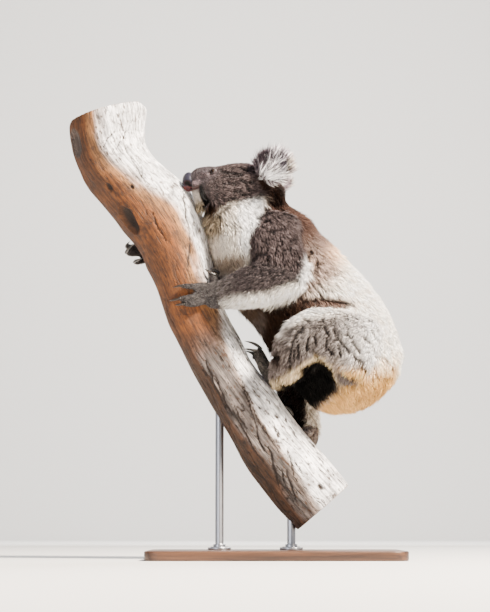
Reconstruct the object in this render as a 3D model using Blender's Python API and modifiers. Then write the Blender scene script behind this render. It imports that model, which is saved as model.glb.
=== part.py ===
"""A koala climbing a leaning length of gum-tree trunk, held up by a plain display stand.

Metres, +Z up. The koala faces -X and its left side is at -Y. The perch is the length of tree trunk that it
clings to, which leans toward -X in the XZ plane. The koala's solids reach to the tips of its coat.
The origin is the centre of the underside of the stand's base.
"""

import math

import bmesh
import bpy
from mathutils import Matrix, Vector

# ---------------------------------------------------------------- driving dimensions

GAP = 0.00035             # clearance between neighbouring pieces
HEAD_MIDLINE = -0.034     # Y of the head's plane of symmetry: it is held to the near side of the perch

# The perch from its lower cut to its upper one: X and Z of the axis, and the radius there.
PERCH_AXIS = [
    (0.090, 0.098, 0.065),
    (0.063, 0.129, 0.065),
    (0.016, 0.185, 0.063),
    (-0.035, 0.260, 0.060),
    (-0.065, 0.306, 0.056),
    (-0.092, 0.349, 0.054),
    (-0.131, 0.419, 0.054),
    (-0.164, 0.496, 0.054),
    (-0.174, 0.534, 0.057),
    (-0.184, 0.573, 0.062),
    (-0.198, 0.614, 0.069),
    (-0.220, 0.655, 0.0745),
    (-0.259, 0.696, 0.069),
    (-0.287, 0.725, 0.066),
    (-0.310, 0.761, 0.067),
    (-0.321, 0.803, 0.070),
    (-0.318, 0.851, 0.073),
]
PERCH_TRIANGLES = 640
PERCH_TOP_DIRECTION = Vector((-0.25, 0.0, 0.97))      # square to the upper sawn face

# Each station of a flesh form: centre X, Y, Z, then the half-height and the half-width of its section.
SPINE = [
    (-0.054, -0.024, 0.676, 0.064, 0.060),
    (-0.052, -0.016, 0.656, 0.079, 0.072),
    (-0.039, -0.005, 0.619, 0.094, 0.084),
    (-0.017, 0.000, 0.586, 0.103, 0.092),
    (0.007, 0.000, 0.546, 0.109, 0.098),
    (0.036, 0.000, 0.517, 0.110, 0.101),
    (0.062, 0.000, 0.486, 0.113, 0.104),
    (0.092, 0.000, 0.446, 0.117, 0.107),
    (0.119, 0.000, 0.405, 0.117, 0.107),
    (0.144, 0.000, 0.361, 0.107, 0.098),
]
SKULL = [
    (-0.036, HEAD_MIDLINE, 0.705, 0.036, 0.050),
    (-0.056, HEAD_MIDLINE, 0.709, 0.039, 0.057),
    (-0.086, HEAD_MIDLINE, 0.709, 0.038, 0.052),
    (-0.114, HEAD_MIDLINE, 0.708, 0.034, 0.041),
    (-0.134, HEAD_MIDLINE, 0.709, 0.034, 0.031),
    (-0.148, HEAD_MIDLINE, 0.711, 0.030, 0.026),
    (-0.157, HEAD_MIDLINE, 0.712, 0.025, 0.019),
]
ARM_LEFT = [
    (-0.001, -0.058, 0.628, 0.050, 0.036),
    (0.000, -0.078, 0.578, 0.053, 0.040),
    (0.028, -0.091, 0.534, 0.042, 0.037),
]
FOREARM_LEFT = [
    (0.029, -0.092, 0.530, 0.040, 0.036),
    (-0.006, -0.093, 0.516, 0.043, 0.034),
    (-0.044, -0.087, 0.507, 0.040, 0.032),
    (-0.075, -0.076, 0.499, 0.035, 0.027),
    (-0.100, -0.062, 0.493, 0.028, 0.020),
    (-0.122, -0.060, 0.490, 0.023, 0.013),
]
ARM_RIGHT = [
    (-0.018, 0.058, 0.636, 0.050, 0.036),
    (-0.024, 0.080, 0.598, 0.047, 0.040),
    (-0.026, 0.095, 0.560, 0.038, 0.037),
]
FOREARM_RIGHT = [
    (-0.024, 0.095, 0.560, 0.037, 0.036),
    (-0.062, 0.105, 0.566, 0.036, 0.032),
    (-0.102, 0.107, 0.577, 0.031, 0.028),
    (-0.137, 0.100, 0.590, 0.026, 0.022),
    (-0.165, 0.090, 0.600, 0.024, 0.019),
    (-0.186, 0.083, 0.604, 0.022, 0.013),
]
THIGH_LEFT = [
    (0.157, -0.062, 0.386, 0.077, 0.045),
    (0.129, -0.080, 0.397, 0.072, 0.043),
    (0.085, -0.098, 0.417, 0.055, 0.040),
    (0.050, -0.107, 0.413, 0.042, 0.036),
    (0.036, -0.109, 0.402, 0.034, 0.034),
]
SHANK_LEFT = [
    (0.037, -0.108, 0.398, 0.041, 0.036),
    (0.030, -0.092, 0.373, 0.042, 0.035),
    (0.016, -0.066, 0.352, 0.031, 0.029),
    (0.008, -0.038, 0.337, 0.020, 0.022),
    (0.002, -0.022, 0.335, 0.016, 0.017),
]
THIGH_RIGHT = [
    (0.145, 0.066, 0.375, 0.066, 0.045),
    (0.095, 0.091, 0.350, 0.050, 0.042),
    (0.042, 0.106, 0.332, 0.041, 0.038),
]
SHANK_RIGHT = [
    (0.041, 0.106, 0.331, 0.040, 0.037),
    (0.051, 0.087, 0.284, 0.035, 0.031),
    (0.065, 0.058, 0.242, 0.021, 0.022),
    (0.068, 0.047, 0.228, 0.016, 0.017),
]

# A spot on the perch: height of the axis there, angle round it in degrees, and how far off the bark.
# The angle is 0 on the near side, at -Y, 90 on the upper side and 180 on the far side.
HAND_LEFT = {
    "palm": (0.480, 38, 0.012),
    "palm_radii": (0.026, 0.012, 0.024),
    "digits": [
        [(0.494, 62, 0.014), (0.508, 72, 0.013), (0.520, 74, 0.011)],
        [(0.490, 52, 0.014), (0.506, 55, 0.014), (0.521, 55, 0.011)],
        [(0.489, 46, 0.012), (0.499, 34, 0.011), (0.504, 16, 0.011), (0.511, -4, 0.008)],
        [(0.481, 46, 0.012), (0.485, 27, 0.011), (0.487, 5, 0.012), (0.492, -15, 0.008)],
        [(0.472, 43, 0.012), (0.473, 20, 0.011), (0.474, 3, 0.011), (0.481, -12, 0.008)],
    ],
    "digit_radii": [0.0095, 0.0095, 0.0085, 0.0085, 0.0080],
    "claws": [(0.536, 64, 0.0015), (0.536, 43, 0.0015), (0.514, -26, 0.0015), (0.497, -44, 0.0015),
              (0.487, -34, 0.0015)],
}
HAND_RIGHT = {
    "palm": (0.604, 192, 0.013),
    "palm_radii": (0.028, 0.013, 0.024),
    "digits": [
        [(0.590, 188, 0.013), (0.573, 198, 0.013), (0.561, 208, 0.010)],
        [(0.594, 200, 0.012), (0.579, 212, 0.013), (0.570, 223, 0.010)],
        [(0.594, 206, 0.012), (0.592, 228, 0.013), (0.590, 249, 0.017), (0.589, 266, 0.015)],
        [(0.606, 208, 0.012), (0.612, 230, 0.015), (0.617, 250, 0.020), (0.620, 268, 0.018)],
        [(0.617, 205, 0.012), (0.625, 224, 0.014), (0.632, 242, 0.016), (0.635, 256, 0.012)],
    ],
    "digit_radii": [0.0095, 0.0095, 0.0080, 0.0080, 0.0078],
    "claws": [(0.548, 220, 0.0015), (0.560, 240, 0.0015), (0.588, 288, 0.0015), (0.624, 290, 0.0015),
              (0.640, 278, 0.0015)],
}
FOOT_LEFT = {
    "pads": [
        ((0.299, 78, 0.015), (0.017, 0.016, 0.022)),
        ((0.321, 79, 0.015), (0.019, 0.014, 0.025)),
        ((0.340, 80, 0.017), (0.019, 0.012, 0.018)),
    ],
    "digits": [
        [(0.316, 92, 0.014), (0.313, 116, 0.012), (0.309, 136, 0.009)],
        [(0.337, 96, 0.016), (0.345, 102, 0.017), (0.352, 106, 0.012)],
        [(0.340, 84, 0.016), (0.349, 84, 0.022), (0.355, 84, 0.023)],
        [(0.338, 70, 0.015), (0.347, 72, 0.020), (0.353, 74, 0.019)],
    ],
    "digit_radii": [0.0090, 0.0085, 0.0085, 0.0080],
    "claws": [
        ((0.352, 102, 0.013), (0.372, 100, 0.0015)),
        ((0.351, 111, 0.013), (0.370, 112, 0.0015)),
        ((0.355, 84, 0.023), (0.383, 86, 0.0060)),
        ((0.353, 74, 0.019), (0.369, 64, 0.0015)),
    ],
}
FOOT_RIGHT = {
    "pads": [
        ((0.188, 130, 0.014), (0.016, 0.015, 0.022)),
        ((0.208, 137, 0.012), (0.019, 0.014, 0.025)),
        ((0.227, 144, 0.012), (0.019, 0.012, 0.018)),
    ],
    "digits": [
        [(0.204, 120, 0.012), (0.200, 100, 0.011), (0.196, 84, 0.009)],
        [(0.225, 130, 0.012), (0.234, 126, 0.012), (0.242, 122, 0.009)],
        [(0.226, 142, 0.012), (0.237, 142, 0.013), (0.246, 140, 0.010)],
        [(0.224, 154, 0.012), (0.234, 158, 0.012), (0.242, 162, 0.009)],
    ],
    "digit_radii": [0.0090, 0.0085, 0.0085, 0.0080],
    "claws": [
        ((0.242, 118, 0.010), (0.260, 113, 0.0015)),
        ((0.242, 126, 0.010), (0.261, 125, 0.0015)),
        ((0.246, 140, 0.010), (0.270, 139, 0.0015)),
        ((0.242, 162, 0.009), (0.260, 174, 0.0015)),
    ],
}
BODY_TRIANGLES = 1600
ARM_TRIANGLES = 360
LEG_TRIANGLES = 380
HAND_TRIANGLES = 360
FOOT_TRIANGLES = 310
EAR_TRIANGLES = 180

EYE_RADIUS = 0.0075
EYE = (-0.1165, 0.0270, 0.7260)            # X, distance from the head's midline, Z
EAR = (0.000, 0.070, 0.7260)               # the same, at the middle of the ear
EAR_RADII = (0.058, 0.016, 0.043)
EAR_TURN = math.radians(40)                # how far each ear's open side is turned forward from sideways
EAR_BOWL_OUT = 0.050                       # how far out the middle of the ball that dishes the ear is
EAR_BOWL_RADIUS = 0.042
NOSE = (-0.1635, 0.7095)                   # X and Z of the bare nose pad
NOSE_RADII = (0.0135, 0.0180, 0.0212)

CLAW_RADIUS = 0.0028
CLAW_BOW = 0.007                           # how far a claw arches off the straight line to its tip
DIGIT_TAPER = 0.12                         # share of its radius that a digit loses at each joint

BASE_LENGTH = 0.480
BASE_WIDTH = 0.340
BASE_HEIGHT = 0.018
BASE_CORNER = 0.030
BASE_EDGE = 0.003
ROD_RADIUS = 0.008
ROD_SIDES = 14
FLANGE_RADIUS = 0.022
FLANGE_HEIGHT = 0.005
FLANGE_CHAMFER = 0.001
RODS = {                                   # X, and the Z of the top before it is fitted to the perch
    "stand_rod_long": (-0.105, 0.310),
    "stand_rod_short": (0.030, 0.120),
}

# Cuts between the pieces of the body: a point on the cut, and the direction of the piece named first.
CUT_HEAD_NECK = (Vector((-0.050, 0.0, 0.672)), Vector((-0.24, 0.0, 0.97)))
CUT_NECK_CHEST = (Vector((-0.044, 0.0, 0.637)), Vector((-0.24, 0.0, 0.97)))
CUT_CHEST_ABDOMEN = (Vector((0.036, 0.0, 0.525)), Vector((-0.62, 0.0, 0.78)))
CUT_ABDOMEN_RUMP = (Vector((0.112, 0.0, 0.420)), Vector((-0.46, 0.0, 0.89)))

for leftover in list(bpy.data.objects):
    bpy.data.objects.remove(leftover)

model = bpy.data.collections.new("koala_on_perch")
cutters = bpy.data.collections.new("cutters")
bpy.context.scene.collection.children.link(model)
bpy.context.scene.collection.children.link(cutters)


# ---------------------------------------------------------------- ways of making and cutting forms

def new_object(name, mesh, collection=model):
    piece = bpy.data.objects.new(name, mesh)
    collection.objects.link(piece)
    return piece


def settle(piece):
    """Give the piece the mesh that its modifiers, or its curve, make of it."""
    bpy.context.view_layer.update()
    graph = bpy.context.evaluated_depsgraph_get()
    mesh = bpy.data.meshes.new_from_object(piece.evaluated_get(graph), depsgraph=graph)
    mesh.transform(piece.matrix_world)
    settled = new_object("settled", mesh)
    name = piece.name
    bpy.data.objects.remove(piece)
    settled.name = name
    return settled


def spline_value(before, start, end, after, share):
    """Catmull-Rom value between start and end."""
    return 0.5 * (2 * start + (end - before) * share
                  + (2 * before - 5 * start + 4 * end - after) * share ** 2
                  + (3 * start - before - 3 * end + after) * share ** 3)


def refine(stations, steps):
    """The stations as vectors, with more of them on a smooth curve through the given ones."""
    rows = [Vector(row) for row in stations]
    fine = []
    for index in range(len(rows) - 1):
        before = rows[max(index - 1, 0)]
        after = rows[min(index + 2, len(rows) - 1)]
        for step in range(steps):
            fine.append(spline_value(before, rows[index], rows[index + 1], after, step / steps))
    fine.append(rows[-1])
    return fine


def loft(name, stations, boxiness=2.0, sides=24):
    """A closed form with oval sections, half-height in the plane of the path and half-width along Y.

    Each end is rounded off with a few shrinking sections. A boxiness over 2 squares the sections.
    """
    rows = refine(stations, 4)
    centres = [Vector(row[:3]) for row in rows]
    sections = []
    for index, row in enumerate(rows):
        ahead = centres[min(index + 1, len(rows) - 1)] - centres[max(index - 1, 0)]
        sections.append((centres[index], ahead.normalized(), row[3], row[4]))
    cap_steps = 4
    cap_depth = 0.8                        # share of the end section's smaller half-size
    first = sections[0]
    last = sections[-1]
    for step in range(1, cap_steps + 1):
        angle = math.pi / 2 * step / (cap_steps + 0.5)
        for end, sign in ((first, -1), (last, 1)):
            reach = sign * cap_depth * min(end[2], end[3]) * math.sin(angle)
            shrink = math.cos(angle)
            ring = (end[0] + end[1] * reach, end[1], end[2] * shrink, end[3] * shrink)
            sections.insert(0 if sign < 0 else len(sections), ring)
    shape = bmesh.new()
    rings = []
    for centre, ahead, high, wide in sections:
        across = (Vector((0, 1, 0)) - ahead * ahead.y).normalized()
        up = ahead.cross(across)
        ring = []
        for side in range(sides):
            angle = 2 * math.pi * side / sides
            cosine = math.copysign(abs(math.cos(angle)) ** (2 / boxiness), math.cos(angle))
            sine = math.copysign(abs(math.sin(angle)) ** (2 / boxiness), math.sin(angle))
            ring.append(shape.verts.new(centre + across * (wide * cosine) + up * (high * sine)))
        rings.append(ring)
    for ring, following in zip(rings, rings[1:]):
        for side in range(sides):
            beside = (side + 1) % sides
            shape.faces.new((ring[side], ring[beside], following[beside], following[side]))
    shape.faces.new(list(reversed(rings[0])))
    shape.faces.new(rings[-1])
    bmesh.ops.recalc_face_normals(shape, faces=shape.faces)
    mesh = bpy.data.meshes.new(name)
    shape.to_mesh(mesh)
    shape.free()
    return new_object(name, mesh)


def mass(name, centre, radii, turn=None, segments=20, rings=12):
    """An ellipsoid with the given radii along X, Y and Z, turned about its centre."""
    shape = bmesh.new()
    bmesh.ops.create_uvsphere(shape, u_segments=segments, v_segments=rings, radius=1.0)
    mesh = bpy.data.meshes.new(name)
    shape.to_mesh(mesh)
    shape.free()
    placing = Matrix.Translation(centre) @ (turn or Matrix.Identity(4)) @ Matrix.Diagonal((*radii, 1.0))
    mesh.transform(placing)
    return new_object(name, mesh)


def rod_through(name, points, radii, sides=10, steps=3):
    """A round form along a smooth curve through the points, with a radius at each."""
    curve = bpy.data.curves.new(name, "CURVE")
    curve.dimensions = "3D"
    curve.bevel_depth = 1.0
    curve.bevel_resolution = sides // 2 - 2
    curve.resolution_u = steps
    curve.use_fill_caps = True
    spline = curve.splines.new("BEZIER")
    spline.bezier_points.add(len(points) - 1)
    for knot, point, radius in zip(spline.bezier_points, points, radii):
        knot.co = point
        knot.radius = radius
        knot.handle_left_type = "AUTO"
        knot.handle_right_type = "AUTO"
    form = settle(new_object(name, curve))
    shape = bmesh.new()
    shape.from_mesh(form.data)
    bmesh.ops.remove_doubles(shape, verts=shape.verts, dist=0.00001)
    bmesh.ops.recalc_face_normals(shape, faces=shape.faces)
    shape.to_mesh(form.data)
    shape.free()
    return form


def gather(name, forms):
    """One object that holds all the forms, which are removed."""
    shape = bmesh.new()
    for form in forms:
        shape.from_mesh(form.data)
        bpy.data.objects.remove(form)
    mesh = bpy.data.meshes.new(name)
    shape.to_mesh(mesh)
    shape.free()
    return new_object(name, mesh)


def knit(form, voxel, smoothing, triangles):
    """Fuse what overlaps in the form into one smooth skin of about so many triangles."""
    remesh = form.modifiers.new("Fuse", "REMESH")
    remesh.mode = "VOXEL"
    remesh.voxel_size = voxel
    smooth = form.modifiers.new("Smooth", "SMOOTH")
    smooth.factor = 0.5
    smooth.iterations = smoothing
    fused = settle(form)
    triangulate = fused.modifiers.new("Triangulate", "TRIANGULATE")
    triangulate.min_vertices = 4
    fused = settle(fused)
    thin = fused.modifiers.new("Thin", "DECIMATE")
    thin.ratio = triangles / len(fused.data.polygons)
    return settle(fused)


def grown(form, distance):
    """A cutter in the form's shape that stands out from it by the distance."""
    cutter = new_object("cutter_" + form.name, form.data.copy(), cutters)
    cutter.hide_render = True
    cutter.display_type = "WIRE"
    swell = cutter.modifiers.new("Swell", "DISPLACE")
    swell.strength = distance
    swell.mid_level = 0.0
    return cutter


def carve(form, *others):
    """Cut the others out of the form with the usual clearance, and keep its largest piece."""
    for index, other in enumerate(others):
        cut = form.modifiers.new("Cut%d" % index, "BOOLEAN")
        cut.operation = "DIFFERENCE"
        cut.solver = "EXACT"
        cut.object = grown(other, GAP)
    return keep_largest(settle(form))


def keep_largest(form):
    """Drop all but the largest of the form's separate bodies."""
    shape = bmesh.new()
    shape.from_mesh(form.data)
    unseen = set(shape.verts)
    bodies = []
    while unseen:
        front = [unseen.pop()]
        body = set(front)
        while front:
            for edge in front.pop().link_edges:
                for vertex in edge.verts:
                    if vertex in unseen:
                        unseen.discard(vertex)
                        body.add(vertex)
                        front.append(vertex)
        bodies.append(body)
    bodies.sort(key=len)
    for body in bodies[:-1]:
        bmesh.ops.delete(shape, geom=list(body), context="VERTS")
    shape.to_mesh(form.data)
    shape.free()
    return form


def slice_of(name, form, above=None, below=None):
    """The part of the form on the named side of one cut and on the far side of another."""
    shape = bmesh.new()
    shape.from_mesh(form.data)
    for cut, sign in ((above, 1), (below, -1)):
        if cut is None:
            continue
        point, direction = cut
        normal = direction.normalized() * sign
        bmesh.ops.bisect_plane(
            shape,
            geom=shape.verts[:] + shape.edges[:] + shape.faces[:],
            dist=0.00001,
            plane_co=point + normal * (GAP / 2),
            plane_no=-normal,
            clear_outer=True,
        )
        rim = [edge for edge in shape.edges if edge.is_boundary]
        bmesh.ops.holes_fill(shape, edges=rim)
        bmesh.ops.triangulate(shape, faces=[face for face in shape.faces if len(face.verts) > 3])
    mesh = bpy.data.meshes.new(name)
    shape.to_mesh(mesh)
    shape.free()
    return keep_largest(new_object(name, mesh))


def fold(before, joint, after):
    """The cut across a bent limb at its joint, square to the middle of the bend, facing its far end."""
    coming = (joint - before).normalized()
    going = (after - joint).normalized()
    return joint, coming + going


def place(station):
    return Vector(station[:3])


def finish(piece, colour, roughness, metallic=0.0):
    """Give the piece its material and smooth shading."""
    material = bpy.data.materials.new(piece.name)
    material.use_nodes = True
    shader = material.node_tree.nodes["Principled BSDF"]
    shader.inputs["Base Color"].default_value = (*colour, 1.0)
    shader.inputs["Roughness"].default_value = roughness
    shader.inputs["Metallic"].default_value = metallic
    piece.data.materials.clear()
    piece.data.materials.append(material)
    piece.data.shade_smooth()
    piece.data.set_sharp_from_angle(angle=math.radians(40))


GREY_FUR = (0.19, 0.17, 0.165)
BROWN_FUR = (0.17, 0.10, 0.07)
CREAM_FUR = (0.55, 0.45, 0.36)
WHITE_FUR = (0.60, 0.57, 0.54)
DARK_FUR = (0.05, 0.03, 0.02)
HORN = (0.012, 0.010, 0.010)


# ---------------------------------------------------------------- perch

def perch_frame(height):
    """Axis point, direction along the axis, direction to the upper side, and radius at a height."""
    rows = refine([(x, height_here, radius) for x, height_here, radius in PERCH_AXIS], 8)
    index = 1
    while index < len(rows) - 1 and rows[index].y < height:
        index += 1
    low = rows[index - 1]
    high = rows[index]
    share = (height - low.y) / (high.y - low.y)
    here = low.lerp(high, share)
    along = Vector((high.x - low.x, 0.0, high.y - low.y)).normalized()
    upper = Vector((0, 1, 0)).cross(along)
    return Vector((here.x, 0.0, here.y)), along, upper, here.z


def perch_spot(height, angle, lift):
    """A point beside the perch, at an angle round it in degrees and a distance off its bark."""
    centre, _, upper, radius = perch_frame(height)
    turn = math.radians(angle)
    outward = Vector((0, -1, 0)) * math.cos(turn) + upper * math.sin(turn)
    return centre + outward * (radius + lift)


def perch_pad(name, spot, radii):
    """An ellipsoid laid on the perch: its radii go round the perch, off the bark and along the axis."""
    height, angle, _ = spot
    _, along, _, _ = perch_frame(height)
    middle = perch_spot(*spot)
    outward = (middle - perch_spot(height, angle, spot[2] - 0.01)).normalized()
    around = outward.cross(along)
    turn = Matrix((around, outward, along)).transposed().to_4x4()
    return mass(name, middle, radii, turn)


def make_perch():
    """The trunk: swollen at its bends, with a lip beside a branch scar and two flat sawn ends."""
    points = [Vector((x, 0.0, z)) for x, z, _ in PERCH_AXIS]
    over = 0.02
    points[0] += (points[0] - points[1]).normalized() * over
    points[-1] += (points[-1] - points[-2]).normalized() * over
    core = rod_through("core", points, [radius for _, _, radius in PERCH_AXIS], sides=20)
    lip = perch_pad("lip", (0.660, -30, -0.032), (0.026, 0.036, 0.040))
    perch = knit(gather("perch", [core, lip]), voxel=0.006, smoothing=6, triangles=PERCH_TRIANGLES)
    lower_centre, lower_along, _, _ = perch_frame(PERCH_AXIS[0][1])
    upper_centre, _, _, _ = perch_frame(PERCH_AXIS[-1][1])
    lower_cut = (lower_centre, lower_along)
    sawn = slice_of("sawn", perch, above=lower_cut, below=(upper_centre, PERCH_TOP_DIRECTION))
    bpy.data.objects.remove(perch)
    sawn.name = "perch"
    finish(sawn, (0.48, 0.36, 0.28), 0.85)
    return sawn


# ---------------------------------------------------------------- stand

def make_base():
    """A flat board with round corners and a softened edge, whose underside is at Z 0."""
    shape = bmesh.new()
    bmesh.ops.create_cube(shape, size=1.0)
    bmesh.ops.scale(shape, vec=(BASE_LENGTH, BASE_WIDTH, BASE_HEIGHT), verts=shape.verts)
    bmesh.ops.translate(shape, vec=(0, 0, BASE_HEIGHT / 2), verts=shape.verts)
    upright = []
    for edge in shape.edges:
        if abs(edge.verts[0].co.z - edge.verts[1].co.z) > BASE_HEIGHT / 2:
            upright.append(edge)
    bmesh.ops.bevel(shape, geom=upright, offset=BASE_CORNER, segments=4, profile=0.5, affect="EDGES")
    mesh = bpy.data.meshes.new("stand_base")
    shape.to_mesh(mesh)
    shape.free()
    base = new_object("stand_base", mesh)
    soften = base.modifiers.new("Soften", "BEVEL")
    soften.width = BASE_EDGE
    soften.angle_limit = math.radians(60)
    finish(base, (0.10, 0.055, 0.03), 0.45)


def make_rods(perch):
    """Round steel rods, each in one piece with its flange, whose tops fit the underside of the perch."""
    for name, (x, raw_top) in RODS.items():
        foot = BASE_HEIGHT + GAP
        profile = [
            (0.0, raw_top),
            (ROD_RADIUS, raw_top),
            (ROD_RADIUS, foot + FLANGE_HEIGHT),
            (FLANGE_RADIUS - FLANGE_CHAMFER, foot + FLANGE_HEIGHT),
            (FLANGE_RADIUS, foot + FLANGE_HEIGHT - FLANGE_CHAMFER),
            (FLANGE_RADIUS, foot),
            (0.0, foot),
        ]
        mesh = bpy.data.meshes.new(name)
        edges = [(index, index + 1) for index in range(len(profile) - 1)]
        mesh.from_pydata([(radius, 0.0, z) for radius, z in profile], edges, [])
        rod = new_object(name, mesh)
        turned = rod.modifiers.new("Turn", "SCREW")
        turned.steps = ROD_SIDES
        turned.render_steps = ROD_SIDES
        turned.use_merge_vertices = True
        turned.merge_threshold = 0.00005
        rod.location.x = x
        finish(carve(settle(rod), perch), (0.55, 0.55, 0.57), 0.3, 1.0)


# ---------------------------------------------------------------- body and head

def make_body(perch):
    """The torso, neck and head as one form, which the limbs are then fitted to."""
    forms = [
        loft("torso", SPINE),
        loft("skull", SKULL, boxiness=2.3),
        mass("jaw", (-0.140, HEAD_MIDLINE, 0.682), (0.016, 0.019, 0.021)),
        mass("nape", (-0.022, -0.026, 0.687), (0.046, 0.056, 0.036)),
    ]
    for side in (-1, 1):
        cheek = mass("cheek", (-0.094, HEAD_MIDLINE + side * 0.029, 0.687), (0.045, 0.030, 0.036))
        forms.append(cheek)
    body = knit(gather("body", forms), voxel=0.0045, smoothing=5, triangles=BODY_TRIANGLES)
    return carve(body, perch)


def make_head(body, perch):
    """The head's solid with sockets for the eyes and a seat for the nose, and those three pieces."""
    head = slice_of("head", body, above=CUT_HEAD_NECK)
    nose = mass("nose", (NOSE[0], HEAD_MIDLINE, NOSE[1]), NOSE_RADII, segments=12, rings=8)
    inner = [nose]
    for side, name in ((-1, "eye_left"), (1, "eye_right")):
        centre = (EYE[0], HEAD_MIDLINE + side * EYE[1], EYE[2])
        inner.append(mass(name, centre, (EYE_RADIUS,) * 3, segments=12, rings=6))
    finish(carve(head, *inner), GREY_FUR, 0.9)
    finish(carve(nose, perch), (0.02, 0.018, 0.02), 0.45)
    for eye in inner[1:]:
        finish(eye, (0.05, 0.02, 0.01), 0.08)


def make_ears(body):
    """Two broad round ears, dished on the open side, whose outline is that of their long fringe."""
    for side, name in ((-1, "ear_left"), (1, "ear_right")):
        centre = Vector((EAR[0], HEAD_MIDLINE + side * EAR[1], EAR[2]))
        turn = Matrix.Rotation(side * EAR_TURN, 4, "Z")
        flap = mass("flap", centre, EAR_RADII, turn)
        opening = centre + turn @ Vector((0, side * EAR_BOWL_OUT, 0))
        bowl = mass("bowl", opening, (EAR_BOWL_RADIUS,) * 3)
        ear = carve(flap, bowl)
        bpy.data.objects.remove(bowl)
        ear.name = name
        ear = knit(ear, voxel=0.003, smoothing=3, triangles=EAR_TRIANGLES)
        finish(carve(ear, body), WHITE_FUR, 0.9)


def make_torso(body):
    pieces = {
        "neck": (CUT_NECK_CHEST, CUT_HEAD_NECK, GREY_FUR),
        "chest": (CUT_CHEST_ABDOMEN, CUT_NECK_CHEST, WHITE_FUR),
        "abdomen": (CUT_ABDOMEN_RUMP, CUT_CHEST_ABDOMEN, BROWN_FUR),
        "rump": (None, CUT_ABDOMEN_RUMP, CREAM_FUR),
    }
    for name, (above, below, colour) in pieces.items():
        finish(slice_of(name, body, above, below), colour, 0.9)


# ---------------------------------------------------------------- limbs

def make_claw(name, root, tip, outward, finger, perch):
    """A horn that arches from inside the finger's end to a point on the bark."""
    points = [
        root,
        root.lerp(tip, 0.4) + outward * CLAW_BOW,
        root.lerp(tip, 0.75) + outward * CLAW_BOW * 0.8,
        tip,
    ]
    radii = [CLAW_RADIUS, CLAW_RADIUS, CLAW_RADIUS * 0.7, CLAW_RADIUS * 0.2]
    claw = rod_through(name, points, radii, sides=6, steps=1)
    finish(carve(claw, finger, perch), HORN, 0.35)


def make_paw(name, forms, shape, triangles, wrist, body, perch):
    """A hand or foot: its pads and digits fused into one form, cut at the wrist and fitted to the perch."""
    for index, (spots, radius) in enumerate(zip(shape["digits"], shape["digit_radii"])):
        points = [perch_spot(*spot) for spot in spots]
        tapering = [radius * (1 - DIGIT_TAPER * step) for step in range(len(points))]
        forms.append(rod_through("digit%d" % index, points, tapering))
        forms.append(mass("tip", points[-1], (tapering[-1],) * 3))
        forms.append(mass("root", points[0], (tapering[0],) * 3))
    whole = knit(gather("paw", forms), voxel=0.0021, smoothing=2, triangles=triangles)
    paw = slice_of(name, whole, above=wrist)
    bpy.data.objects.remove(whole)
    paw = carve(paw, body, perch)
    finish(paw, GREY_FUR, 0.9)
    return paw


def paw_claws(paw, spots, perch):
    """The claws of one hand or foot. Each starts inside its digit's end, at the first spot of its pair."""
    for number, (root_spot, tip_spot) in enumerate(spots, start=1):
        height, angle, lift = root_spot
        root = perch_spot(height, angle, lift)
        outward = (perch_spot(height, angle, lift + 0.01) - root).normalized()
        make_claw("claw_%s_%d" % (paw.name, number), root, perch_spot(*tip_spot), outward, paw, perch)


def make_arm(side, arm, forearm, hand, body, perch):
    """Upper arm, forearm, hand and its five claws."""
    forms = [loft("upper", arm), loft("lower", forearm)]
    whole = knit(gather("arm", forms), voxel=0.004, smoothing=4, triangles=ARM_TRIANGLES)
    whole = carve(whole, body, perch)
    elbow = fold(place(arm[-2]), place(forearm[0]), place(forearm[1]))
    wrist_point = place(forearm[-2])
    wrist = (wrist_point, place(forearm[-1]) - place(forearm[-3]))
    finish(slice_of("upper_arm_" + side, whole, below=elbow), GREY_FUR, 0.9)
    finish(slice_of("forearm_" + side, whole, above=elbow, below=wrist), GREY_FUR, 0.9)
    bpy.data.objects.remove(whole)
    forms = [loft("wrist", forearm[-3:]), perch_pad("palm", hand["palm"], hand["palm_radii"])]
    paw = make_paw("hand_" + side, forms, hand, HAND_TRIANGLES, wrist, body, perch)
    ends = [digit[-1] for digit in hand["digits"]]
    paw_claws(paw, list(zip(ends, hand["claws"])), perch)


def make_leg(side, thigh, shank, foot, body, perch):
    """Thigh, shank, foot and its four claws. The first digit of the foot has no claw."""
    forms = [loft("upper", thigh), loft("lower", shank)]
    whole = knit(gather("leg", forms), voxel=0.004, smoothing=4, triangles=LEG_TRIANGLES)
    whole = carve(whole, body, perch)
    knee = fold(place(thigh[-2]), place(shank[0]), place(shank[1]))
    ankle_point = place(shank[-2])
    ankle = (ankle_point, place(shank[-1]) - place(shank[-3]))
    finish(slice_of("thigh_" + side, whole, below=knee), CREAM_FUR, 0.9)
    finish(slice_of("shank_" + side, whole, above=knee, below=ankle), GREY_FUR, 0.9)
    bpy.data.objects.remove(whole)
    forms = [loft("ankle", shank[-3:])]
    forms += [perch_pad("pad", spot, radii) for spot, radii in foot["pads"]]
    paw = make_paw("foot_" + side, forms, foot, FOOT_TRIANGLES, ankle, body, perch)
    paw_claws(paw, foot["claws"], perch)


# ---------------------------------------------------------------- the whole model

perch = make_perch()
make_base()
make_rods(perch)
body = make_body(perch)
make_head(body, perch)
make_ears(body)
make_torso(body)
make_arm("left", ARM_LEFT, FOREARM_LEFT, HAND_LEFT, body, perch)
make_arm("right", ARM_RIGHT, FOREARM_RIGHT, HAND_RIGHT, body, perch)
make_leg("left", THIGH_LEFT, SHANK_LEFT, FOOT_LEFT, body, perch)
make_leg("right", THIGH_RIGHT, SHANK_RIGHT, FOOT_RIGHT, body, perch)
bpy.data.objects.remove(body)
for cutter in list(cutters.objects):
    bpy.data.objects.remove(cutter)
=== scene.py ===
"""A museum model of a koala climbing a leaning length of gum trunk, held up by a plain display stand.

The file follows the model as it is put together: the trunk, the stand, the skin over the body, the eyes,
the nose, the claws and the coat, and then the place it is shown in. Metres, +Z up. The koala faces -X and
its left side is at -Y.
"""

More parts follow.
